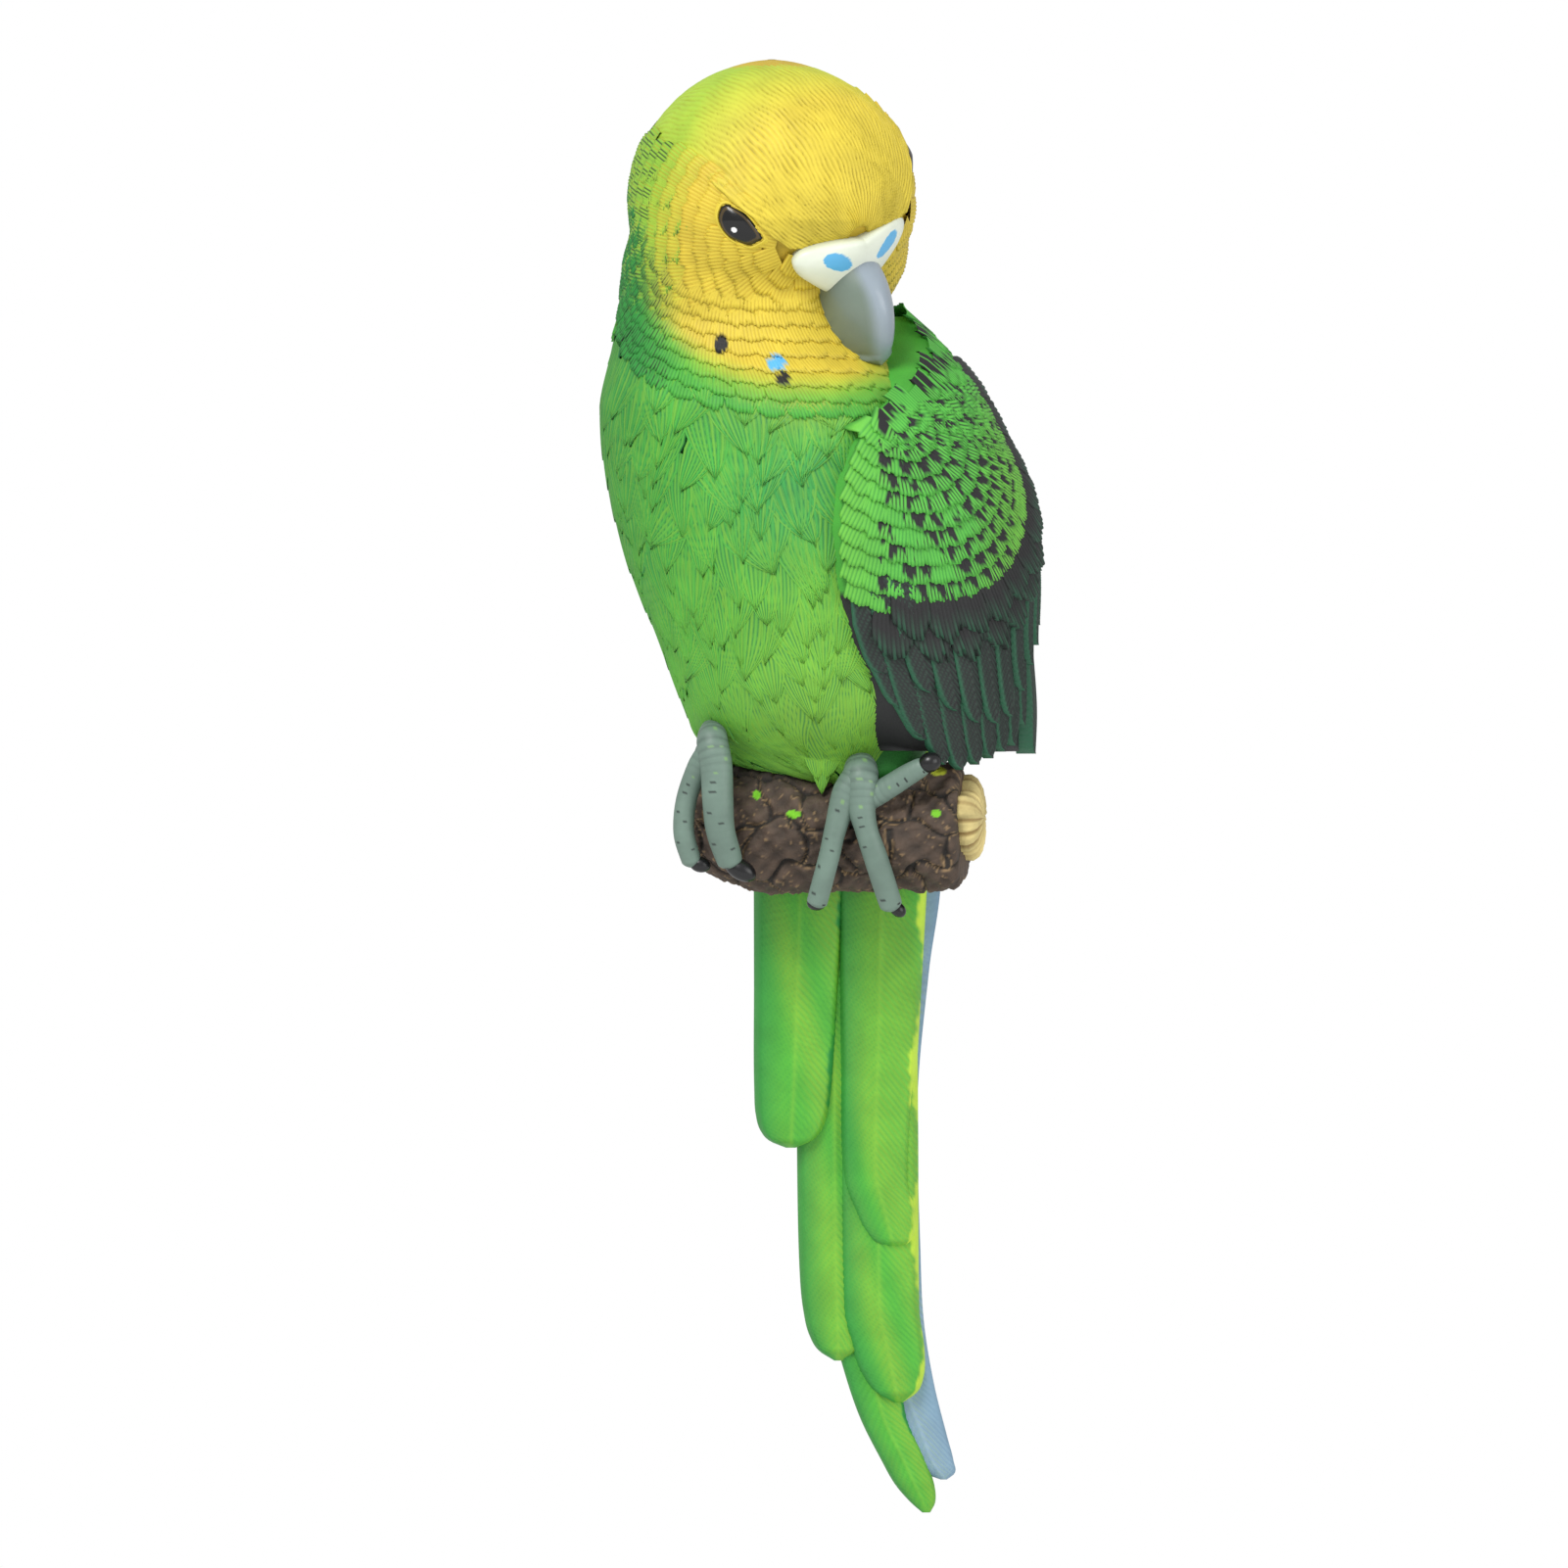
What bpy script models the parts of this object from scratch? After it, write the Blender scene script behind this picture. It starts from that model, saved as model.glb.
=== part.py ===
"""A cast figurine of a small parrot on a stub of branch, made to hang flat against a wall.

The bird, its tail and the branch are one casting. The wall is the plane y = 0 and the bird is in
front of it, at negative y. The origin is on the flat that bears on the wall, just above its keyhole,
and +Z is up.
Angles round the body are counted in degrees from the front (-Y) towards the bird's left wing (+X).
"""

import math

import bmesh
import bpy
import numpy as np
from mathutils import Vector

MM = 0.001

# Head: a ball turned over the bird's left shoulder, beak down and tipped to one side.
HEAD_RADIUS = 28.2 * MM
HEAD_X = -9.4 * MM
HEAD_Y = -49.5 * MM
HEAD_Z = 43.7 * MM
HEAD_YAW = 43.0
HEAD_PITCH = -18.5
HEAD_ROLL = 20.0

# Face, placed by angles in the head's own frame: azimuth to the bird's left, then height.
EYE_AZIMUTH = 53.0
EYE_HEIGHT = 12.8
EYE_RADIUS = 5.9 * MM
EYE_PROUD = 0.9 * MM
CROWN_LIFT = 0.5 * MM
BROW_PROUD = 1.6 * MM
CERE_AZIMUTH = 16.0
CERE_HALF_WIDTH = 8.6 * MM
CERE_HEIGHT = -2.4
CERE_HALF_HEIGHT = 5.2 * MM
CERE_PROUD = 2.7 * MM
BEAK_LENGTH = 24.5 * MM
BEAK_HALF_WIDTH = 10.0 * MM
BEAK_FORWARD = 34.6 * MM
BEAK_BACK = 13.0 * MM
CHIN_RADIUS = 5.0 * MM

# Beak from root to hook: share of its length, then its front, half width and back as shares.
BEAK_SECTIONS = ((0.0, 0.78, 0.78, 1.0), (0.2, 0.89, 1.0, 1.0), (0.42, 0.97, 1.06, 1.0), (0.62, 1.0, 1.06, 1.0),
                 (0.78, 0.995, 0.98, 1.15), (0.86, 0.975, 0.66, 1.7), (0.93, 0.95, 0.34, 2.15),
                 (1.0, 0.92, 0.1, 2.38))
CHEEK_RADIUS = 16.0 * MM
CHEEK_SIDE = 12.5 * MM
CHEEK_DROP = 12.5 * MM
CHEEK_FORWARD = 1.4 * MM
CHEEK_ROWS = 4
CHEEK_SIDE_STEP = 19.0
CHEEK_LOW_STEP = 12.0
CHEEK_LIFT = 1.0 * MM

# Crown: half its angle round the face, by the angle back from the middle of the face. Its side
# edge stands out as the brow.
CROWN_EDGE = ((8.0, 94.0), (20.0, 92.0), (32.0, 88.5), (36.0, 82.4), (49.0, 68.5), (62.0, 62.4),
              (76.0, 56.0), (87.0, 52.0), (128.0, 48.0))
BROW_SPAN = ((24.0, 0.0), (34.0, 0.6), (48.0, 1.0), (64.0, 0.95), (76.0, 0.4), (92.0, 0.0))

# Body below the ears, in mm: height, middle and half width across, middle and half depth.
BODY_STATIONS = (
    (38.0, -9.9, 28.0, -49.0, 28.0),
    (31.0, -12.2, 26.6, -45.6, 26.8),
    (24.0, -14.6, 25.0, -41.4, 25.8),
    (14.0, -13.4, 28.2, -40.0, 28.4),
    (2.0, -7.6, 36.0, -40.4, 34.9),
    (-12.0, -4.6, 37.6, -39.7, 35.8),
    (-28.0, -3.2, 35.0, -39.4, 34.4),
    (-44.0, -1.4, 30.4, -39.6, 30.8),
    (-58.0, -0.6, 25.8, -40.4, 25.6),
    (-67.0, 0.0, 21.6, -41.4, 20.6),
    (-73.0, 1.5, 15.0, -43.4, 14.0),
    (-77.5, 2.4, 6.0, -46.0, 6.0),
)
CORE_SEGMENTS = 30

# The folded wings and the back between them lie on a wider form. Same columns.
WING_STATIONS = (
    (23.0, -11.0, 28.0, -42.0, 26.0),
    (16.0, -8.0, 32.0, -40.6, 29.0),
    (8.0, -6.2, 36.9, -40.6, 33.6),
    (-2.0, -3.8, 40.0, -40.3, 37.6),
    (-14.0, -0.6, 42.2, -39.8, 38.0),
    (-28.0, 1.6, 41.6, -39.0, 37.0),
    (-44.0, 4.2, 38.0, -37.0, 34.6),
    (-58.0, 7.4, 34.6, -35.0, 31.6),
    (-68.0, 10.0, 31.0, -33.0, 29.0),
)
WING_FRONT = ((21.0, 84.0), (14.0, 64.0), (8.0, 44.0), (1.0, 27.0), (-6.0, 14.0), (-14.0, 6.5),
              (-22.0, 3.5), (-37.0, 3.0), (-45.0, 5.0), (-56.0, 9.5), (-67.0, 22.0))
WING_REAR_ANGLE = 252.0
WING_BLEND_ANGLE = 70.0
WING_TOP = 21.0 * MM
WING_BOTTOM = -66.0 * MM

# Small feathers of the wing lie in rings round the shoulder; the flight feathers come out below.
SHOULDER_ANGLE = 28.0
SHOULDER_Z = 0.0 * MM
COVERT_RINGS = (37.0, 29.5, 22.0, 14.5)
COVERT_WIDTH = 10.4 * MM
COVERT_LIFT = 1.3 * MM
FLIGHT_WIDTH = 9.5 * MM
FLIGHT_LIFT = 1.5 * MM
FLIGHT_TIP_Z = -69.0 * MM
BACK_LIFT = 1.2 * MM

BREAST_WIDTH = 11.5 * MM
BREAST_LENGTH = 17.0 * MM
BREAST_LIFT = 0.9 * MM

# Tail: the green undersides in front, one blue feather behind. Each: top middle x, bottom middle x,
# tip height, half width at the top and near the tip, how far its face stands forward; in mm.
TAIL_FEATHERS = (
    (-2.6, -5.0, -145.4, 10.6, 8.0, 4.6),
    (13.0, 13.2, -166.0, 10.5, 6.6, 4.4),
    (2.0, 2.9, -188.0, 8.5, 7.4, 1.6),
    (11.0, 14.4, -196.4, 8.5, 7.2, 3.0),
)
TAIL_TOP_Z = -62.0 * MM
TAIL_TOP_Y = -27.0 * MM
TAIL_TIP_Y = -8.0 * MM
TAIL_TIP_Z = -218.4 * MM
TAIL_THICKNESS = 6.0 * MM

# Branch: a stub under the feet, its right end nearer the front, with bare wood broken out.
BRANCH_RADIUS = 12.6 * MM
BRANCH_LEFT = -26.0 * MM
BRANCH_RIGHT = 29.0 * MM
BRANCH_Y = -42.0 * MM
BRANCH_Z = -81.3 * MM
BRANCH_TURN = 10.0
BRANCH_ROUGHNESS = 0.9 * MM
BREAK_RADIUS = 7.4 * MM
BREAK_LENGTH = 4.0 * MM

# Rump: fills the corner between the belly, the branch and the tail.
RUMP_HALF_WIDTH = 18.0 * MM
RUMP_OVERLAP = 4.0 * MM

TOE_RADIUS = 3.5 * MM
CLAW_RADIUS = 2.7 * MM

# Flat boss on the back with a keyhole for a nail or screw head.
PAD_HALF_WIDTH = 12.0 * MM
PAD_HALF_HEIGHT = 16.0 * MM
PAD_FLARE = 1.3
PAD_DEPTH = 14.0 * MM
PAD_Z = -10.5 * MM
KEYHOLE_RADIUS = 4.4 * MM
KEYHOLE_SLOT = 5.0 * MM
KEYHOLE_RISE = 5.0 * MM
KEYHOLE_Z = -17.5 * MM
KEYHOLE_DEPTH = 7.0 * MM


def clear_scene():
    """Start from an empty scene."""
    for item in list(bpy.data.objects):
        bpy.data.objects.remove(item, do_unlink=True)


def smooth(rows, position):
    """Values of a table of stations at a height, on a curve through them that never overshoots."""
    table = np.array(sorted(rows), dtype=float)
    knots = table[:, 0]
    values = table[:, 1:]
    position = min(max(position, knots[0]), knots[-1])
    index = min(int(np.searchsorted(knots, position, side="right")) - 1, len(knots) - 2)
    steps = np.diff(knots)[:, None]
    rates = np.diff(values, axis=0) / steps
    tangents = np.vstack((rates[:1], 0.5 * (rates[:-1] + rates[1:]), rates[-1:]))
    limits = 3.0 * np.minimum(np.abs(np.vstack((rates[:1], rates))), np.abs(np.vstack((rates, rates[-1:]))))
    tangents = np.clip(tangents, -limits, limits)
    step = knots[index + 1] - knots[index]
    t = (position - knots[index]) / step
    low = (1 + 2 * t) * (1 - t) ** 2 * values[index] + t * (1 - t) ** 2 * step * tangents[index]
    high = t * t * (3 - 2 * t) * values[index + 1] + t * t * (t - 1) * step * tangents[index + 1]
    return low + high


def section(rows, z):
    """Middle x, half width, middle y and half depth of a form at height z."""
    if rows is BODY_STATIONS and z / MM > rows[0][0]:
        half = math.sqrt(max(HEAD_RADIUS ** 2 - (z - HEAD_Z) ** 2, (0.02 * HEAD_RADIUS) ** 2))
        return HEAD_X, half, HEAD_Y, half
    middle_x, half_x, middle_y, half_y = smooth(rows, z / MM) * MM
    return middle_x, half_x, middle_y, half_y


def on_body(angle, z, rise):
    """Point over the body's skin."""
    middle_x, half_x, middle_y, half_y = section(BODY_STATIONS, z)
    turn = math.radians(angle)
    return Vector((middle_x + (half_x + rise) * math.sin(turn), middle_y - (half_y + rise) * math.cos(turn), z))


def on_wing(angle, z, rise):
    """Point over the form of the wings and back, which runs down into the body at its far edge."""
    share = min(max((WING_REAR_ANGLE - angle) / WING_BLEND_ANGLE, 0.0), 1.0)
    share = share * share * (3 - 2 * share)
    body = on_body(angle, z, 0.0)
    middle_x, half_x, middle_y, half_y = section(WING_STATIONS, z)
    turn = math.radians(angle)
    outward = Vector((math.sin(turn), -math.cos(turn), 0.0))
    wing = Vector((middle_x + half_x * math.sin(turn), middle_y - half_y * math.cos(turn), z))
    if (wing - body).dot(outward) < 0.0:
        wing = body
    return body.lerp(wing, share) + outward * rise


def head_frame():
    """Forward, side (the bird's left) and up of the turned head."""
    yaw = math.radians(HEAD_YAW)
    pitch = math.radians(HEAD_PITCH)
    roll = math.radians(HEAD_ROLL)
    forward = Vector((math.sin(yaw) * math.cos(pitch), -math.cos(yaw) * math.cos(pitch), math.sin(pitch)))
    level = Vector((math.cos(yaw), math.sin(yaw), 0.0))
    up = forward.cross(level)
    return forward, level * math.cos(roll) + up * math.sin(roll), up * math.cos(roll) - level * math.sin(roll)


def head_direction(azimuth, height):
    """Unit vector in the head's frame."""
    forward, side, up = head_frame()
    a = math.radians(azimuth)
    e = math.radians(height)
    return forward * (math.cos(e) * math.cos(a)) + side * (math.cos(e) * math.sin(a)) + up * math.sin(e)


def head_centre():
    """Middle of the head ball."""
    return Vector((HEAD_X, HEAD_Y, HEAD_Z))


def solid(name, mesh_data):
    """Object from a filled bmesh, its faces turned outward."""
    bmesh.ops.remove_doubles(mesh_data, verts=mesh_data.verts, dist=0.00001)
    bmesh.ops.triangulate(mesh_data, faces=mesh_data.faces)
    bmesh.ops.recalc_face_normals(mesh_data, faces=mesh_data.faces)
    mesh = bpy.data.meshes.new(name)
    mesh_data.to_mesh(mesh)
    mesh_data.free()
    item = bpy.data.objects.new(name, mesh)
    bpy.context.scene.collection.objects.link(item)
    return item


def loft(name, rings):
    """Closed skin through rings of points, each end closed round its middle."""
    data = bmesh.new()
    layers = [[data.verts.new(point) for point in ring] for ring in rings]
    count = len(rings[0])
    for low, high in zip(layers[:-1], layers[1:]):
        for k in range(count):
            data.faces.new((low[k], low[(k + 1) % count], high[(k + 1) % count], high[k]))
    for ring in (layers[0], layers[-1]):
        middle = sum((vertex.co for vertex in ring), Vector()) / count
        centre = data.verts.new(middle)
        for k in range(count):
            data.faces.new((ring[k], ring[(k + 1) % count], centre))
    return solid(name, data)


def slab(name, top, bottom):
    """Closed solid between two grids of points of the same size."""
    data = bmesh.new()
    upper = [[data.verts.new(point) for point in row] for row in top]
    lower = [[data.verts.new(point) for point in row] for row in bottom]
    rows = len(upper)
    columns = len(upper[0])
    for i in range(rows - 1):
        for j in range(columns - 1):
            data.faces.new((upper[i][j], upper[i + 1][j], upper[i + 1][j + 1], upper[i][j + 1]))
            data.faces.new((lower[i][j], lower[i][j + 1], lower[i + 1][j + 1], lower[i + 1][j]))
    rim_up = upper[0] + [row[-1] for row in upper[1:]] + upper[-1][-2::-1] + [row[0] for row in upper[-2:0:-1]]
    rim_low = lower[0] + [row[-1] for row in lower[1:]] + lower[-1][-2::-1] + [row[0] for row in lower[-2:0:-1]]
    for k in range(len(rim_up)):
        n = (k + 1) % len(rim_up)
        data.faces.new((rim_up[k], rim_up[n], rim_low[n], rim_low[k]))
    return solid(name, data)


FEATHER_SHAPES = {
    "leaf": ((0.0, 0.6), (0.55, 1.0), (1.0, 0.14)),
    "scallop": ((0.0, 0.85), (0.7, 1.0), (1.0, 0.5)),
    "blade": ((0.0, 0.75), (0.45, 1.0), (0.85, 0.9), (1.0, 0.35)),
}


def feather(name, place, sink, length, width, lift, shape):
    """Low feather: place(across, along) gives (skin point, outward), sink(point pair) its buried foot."""
    top = []
    bottom = []
    for along, spread in FEATHER_SHAPES[shape]:
        upper_row = []
        lower_row = []
        for across in (-1.0, 0.0, 1.0):
            point, outward = place(across * spread * width / 2, along * length)
            height = lift * (along ** 0.7 * (1.0 - 0.45 * abs(across)) - 0.35 * (1.0 - along))
            upper_row.append(point + outward * height)
            lower_row.append(sink(across * spread * width / 2, along * length))
        top.append(upper_row)
        bottom.append(lower_row)
    return slab(name, top, bottom)


def form_feather(name, form, angle, z, heading, length, width, lift, shape):
    """Feather on a form: heading 0 points down, positive turns towards growing angles."""
    half_x = section(WING_STATIONS if form is on_wing else BODY_STATIONS, z)[1]
    lean = math.radians(heading)

    def spot(across, along):
        shift = along * math.sin(lean) + across * math.cos(lean)
        drop = along * math.cos(lean) - across * math.sin(lean)
        return angle + math.degrees(shift / half_x), z - drop

    def place(across, along):
        spin, height = spot(across, along)
        turn = math.radians(spin)
        return form(spin, height, 0.0), Vector((math.sin(turn), -math.cos(turn), 0.0))

    def sink(across, along):
        spin, height = spot(across, along)
        return on_body(spin, max(height, -70.0 * MM), -4.0 * MM)

    return feather(name, place, sink, length, width, lift, shape)


def cheek_centre(sign):
    """Middle of the full cheek on one side of the head."""
    forward, side, up = head_frame()
    return head_centre() + forward * CHEEK_FORWARD + side * (sign * CHEEK_SIDE) - up * CHEEK_DROP


def head_skin(direction):
    """Distance from the middle of the head to the skin of head and neck in a direction."""
    centre = head_centre()
    near = HEAD_RADIUS * 0.9
    far = HEAD_RADIUS * 1.7
    for step in range(22):
        reach = 0.5 * (near + far)
        point = centre + direction * reach
        middle_x, half_x, middle_y, half_y = section(BODY_STATIONS, point.z)
        inside = ((point.x - middle_x) / half_x) ** 2 + ((point.y - middle_y) / half_y) ** 2 < 1.0
        for sign in (-1, 1):
            inside = inside or (point - cheek_centre(sign)).length < CHEEK_RADIUS
        if inside:
            near = reach
        else:
            far = reach
    return near


def head_feather(name, direction, heading, length, width, lift, shape):
    """Feather on the head or neck; heading is a vector it points along."""
    centre = head_centre()
    along_axis = (heading - direction * heading.dot(direction)).normalized()
    across_axis = direction.cross(along_axis)

    def spot(across, along):
        return (direction + (along_axis * along + across_axis * across) / HEAD_RADIUS).normalized()

    def place(across, along):
        way = spot(across, along)
        return centre + way * head_skin(way), way

    def sink(across, along):
        way = spot(across, along)
        return centre + way * (head_skin(way) - 6.0 * MM)

    return feather(name, place, sink, length, width, lift, shape)


def ellipsoid(name, centre, axes, halves, segments=12, rings=6):
    """Ball stretched along three axes."""
    data = bmesh.new()
    bmesh.ops.create_uvsphere(data, u_segments=segments, v_segments=rings, radius=1.0)
    for vertex in data.verts:
        local = vertex.co.copy()
        vertex.co = centre + axes[0] * (local.x * halves[0]) + axes[1] * (local.y * halves[1]) \
            + axes[2] * (local.z * halves[2])
    return solid(name, data)


def tube(name, path, radii, sides=8, flatten=1.0, facing=Vector((0.0, -1.0, 0.0))):
    """Swept round or flattened bar along a path of points."""
    rings = []
    for k, point in enumerate(path):
        ahead = path[min(k + 1, len(path) - 1)]
        behind = path[max(k - 1, 0)]
        direction = (ahead - behind).normalized()
        across = direction.cross(facing).normalized()
        outward = across.cross(direction).normalized()
        ring = []
        for s in range(sides):
            turn = 2 * math.pi * s / sides
            ring.append(point + across * (radii[k] * math.cos(turn))
                        + outward * (radii[k] * flatten * math.sin(turn)))
        rings.append(ring)
    return loft(name, rings)


def build_core():
    """Head and body in one skin."""
    top = HEAD_Z + HEAD_RADIUS
    heights = [top - HEAD_RADIUS * (1 - math.cos(math.radians(a))) for a in (3, 14, 26, 38, 50, 62, 74, 86)]
    heights += [z * MM for z in (34.0, 28.0, 22.0, 14.0, 6.0, -4.0, -14.0, -25.0, -36.0, -46.0, -55.0, -62.0,
                                 -68.0, -73.0, -77.5)]
    rings = []
    for z in heights:
        rings.append([on_body(360.0 * k / CORE_SEGMENTS, z, 0.0) for k in range(CORE_SEGMENTS)])
    return loft("core", rings)


def wing_front(z):
    """Angle of the near wing's front edge at a height."""
    return float(smooth(WING_FRONT, z / MM)[0])


def build_wing_slab():
    """Raised mass of both folded wings and the back between them."""
    top = []
    bottom = []
    rows = 10
    for i in range(rows + 1):
        level = WING_TOP + (WING_BOTTOM - WING_TOP) * i / rows
        start = wing_front(level)
        steps = [0.0, 0.03, 0.07, 0.13, 0.22, 0.33, 0.45, 0.57, 0.69, 0.8, 0.9, 1.0]
        edge = -1.2 * MM if i in (0, rows) else 0.0
        upper_row = []
        lower_row = []
        for share in steps:
            angle = start + (WING_REAR_ANGLE - start) * share
            z = WING_TOP + (level - WING_TOP) * (1.0 - 0.16 * max(0.0, (angle - 110.0) / 140.0))
            rise = edge - (1.4 * MM if share in (0.0, 1.0) else 0.0)
            upper_row.append(on_wing(angle, z, rise))
            lower_row.append(on_body(angle, z, -8.0 * MM))
        top.append(upper_row)
        bottom.append(lower_row)
    return [slab("wing_mass", top, bottom)]


def build_coverts():
    """Rings of small feathers round the near shoulder, the outermost first."""
    made = []
    half = section(WING_STATIONS, SHOULDER_Z)[1]
    for row, ring in enumerate(COVERT_RINGS):
        radius = ring * MM - 10.0 * MM
        start = -math.degrees(math.asin(min(0.9, 0.42 * COVERT_RINGS[0] / ring)))
        stop = 96.0
        count = max(3, int(round(math.radians(stop - start) * ring * MM / COVERT_WIDTH)))
        for k in range(count):
            bearing = start + (stop - start) * (k + 0.5 * (row % 2) + 0.25) / count
            lean = math.radians(bearing)
            angle = SHOULDER_ANGLE + math.degrees(radius * math.sin(lean) / half)
            z = SHOULDER_Z - radius * math.cos(lean)
            made.append(form_feather("covert", on_wing, angle, z, bearing, 10.0 * MM, COVERT_WIDTH * 1.15,
                                     COVERT_LIFT, "scallop"))
    return made


def build_flights():
    """Dark flight feathers of the near wing: a short fan, then the long ones down to the tip."""
    made = []
    half = section(WING_STATIONS, -40.0 * MM)[1]
    for k in range(7):
        angle = 21.0 + 12.0 * k
        tip_z = FLIGHT_TIP_Z + (2.5, 0.6, 0.0, 0.4, 2.0, 6.0, 14.0)[k] * MM
        top_z = tip_z + 31.0 * MM
        made.append(form_feather("long_flight", on_wing, angle - 5.0, top_z, 9.0 - 2.0 * k, top_z - tip_z,
                                 FLIGHT_WIDTH, FLIGHT_LIFT * 0.8, "blade"))
    for k in range(6):
        bearing = -20.0 + 18.0 * k
        lean = math.radians(bearing)
        reach = 34.0 * MM
        angle = SHOULDER_ANGLE + math.degrees(reach * math.sin(lean) / half)
        z = SHOULDER_Z - reach * math.cos(lean)
        made.append(form_feather("short_flight", on_wing, angle, z, bearing * 0.5 + 10.0, 17.0 * MM,
                                 FLIGHT_WIDTH * 1.15, FLIGHT_LIFT * 1.3, "blade"))
    return made


def build_back():
    """Barred back between the wings, then the far wing crossing over to the right."""
    made = []
    for row in range(4):
        z = 22.0 * MM - row * 13.0 * MM
        for k in range(5 - row % 2):
            angle = 88.0 + 26.0 * k + 13.0 * (row % 2)
            if abs(z - PAD_Z - 7.0 * MM) < PAD_HALF_HEIGHT + 4.0 * MM and 150.0 < angle < 200.0:
                continue
            made.append(form_feather("back_feather", on_wing, angle, z, 0.0, 17.0 * MM, 17.0 * MM, BACK_LIFT,
                                     "scallop"))
    for row in range(2):
        for k in range(2):
            angle = 208.0 + 18.0 * k
            z = (-2.0 - 14.0 * row) * MM
            made.append(form_feather("far_covert", on_wing, angle, z, -20.0, 15.0 * MM, 13.0 * MM, BACK_LIFT,
                                     "scallop"))
    for k in range(6):
        angle = 222.0 - 17.0 * k
        z = -34.0 * MM - 2.6 * MM * k
        made.append(form_feather("far_flight", on_wing, angle, z, -36.0, 30.0 * MM - 1.6 * MM * k,
                                 FLIGHT_WIDTH * 1.2, FLIGHT_LIFT, "blade"))
    return made


def build_breast():
    """Pointed breast feathers in staggered rows, spreading away from the throat."""
    made = []
    for row in range(5):
        z = 8.0 * MM - row * 12.0 * MM
        half = section(BODY_STATIONS, z)[1]
        pitch = math.degrees(BREAST_WIDTH / half)
        count = int((wing_front(z - 8.0 * MM) + 104.0) / pitch)
        for k in range(count):
            angle = -104.0 + pitch * (k + 0.5 * (row % 2) + 0.2)
            heading = 0.32 * (angle + 12.0)
            made.append(form_feather("breast_feather", on_body, angle, z, heading, BREAST_LENGTH, BREAST_WIDTH,
                                     BREAST_LIFT, "leaf"))
    return made


def build_cheeks():
    """Rows of short feathers bowed round the face, from behind the eyes down to the throat."""
    made = []
    pole = head_direction(0.0, -6.0)
    forward, side, up = head_frame()
    eyes = [head_direction(sign * EYE_AZIMUTH, EYE_HEIGHT) for sign in (-1, 1)]
    for sign in (-1, 1):
        ball = (Vector((1, 0, 0)), Vector((0, 1, 0)), Vector((0, 0, 1)))
        made.append(ellipsoid("cheek", cheek_centre(sign), ball, (CHEEK_RADIUS,) * 3, 12, 8))
    for row in range(CHEEK_ROWS):
        place = CHEEK_ROWS - 1 - row
        count = 5 + int(2.5 * place)
        for k in range(count):
            turn = math.radians(-118.0 + 236.0 * (k + 0.5 * (row % 2) + 0.25) / count)
            wide = math.sin(turn) ** 2
            reach = math.radians(22.0 + 8.0 * wide + place * (CHEEK_LOW_STEP * (1.0 - wide) + CHEEK_SIDE_STEP * wide))
            away = -up * math.cos(turn) + side * math.sin(turn)
            direction = (pole * math.cos(reach) + away * math.sin(reach)).normalized()
            if max(direction.dot(eye) for eye in eyes) > 0.94:
                continue
            step = CHEEK_LOW_STEP * (1.0 - wide) + CHEEK_SIDE_STEP * wide
            length = math.radians(step) * HEAD_RADIUS * 1.3
            width = HEAD_RADIUS * math.sin(reach) * math.radians(236.0) / count * 1.3
            made.append(head_feather("cheek_feather", direction, away, length, width, CHEEK_LIFT, "scallop"))
    return made


def build_crown():
    """Thick pad of feathers over the head, its front under the cere and its side edges the brows."""
    forward, side, up = head_frame()
    centre = head_centre()
    top = []
    bottom = []
    for back in (9.0, 22.0, 34.0, 46.0, 58.0, 70.0, 84.0, 98.0, 112.0, 126.0):
        edge = float(smooth(CROWN_EDGE, back)[0])
        brow = float(smooth(BROW_SPAN, back)[0])
        away = math.radians(back)
        upper_row = []
        lower_row = []
        for share in (-1.0, -0.86, -0.5, 0.0, 0.5, 0.86, 1.0):
            turn = math.radians(edge * share)
            way = forward * math.cos(away) + (up * math.cos(turn) + side * math.sin(turn)) * math.sin(away)
            reach = head_skin(way)
            upper_row.append(centre + way * (reach + CROWN_LIFT + BROW_PROUD * brow * abs(share) ** 5))
            lower_row.append(centre + way * (HEAD_RADIUS - 6.0 * MM))
        top.append(upper_row)
        bottom.append(lower_row)
    return [slab("crown", top, bottom)]


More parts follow.
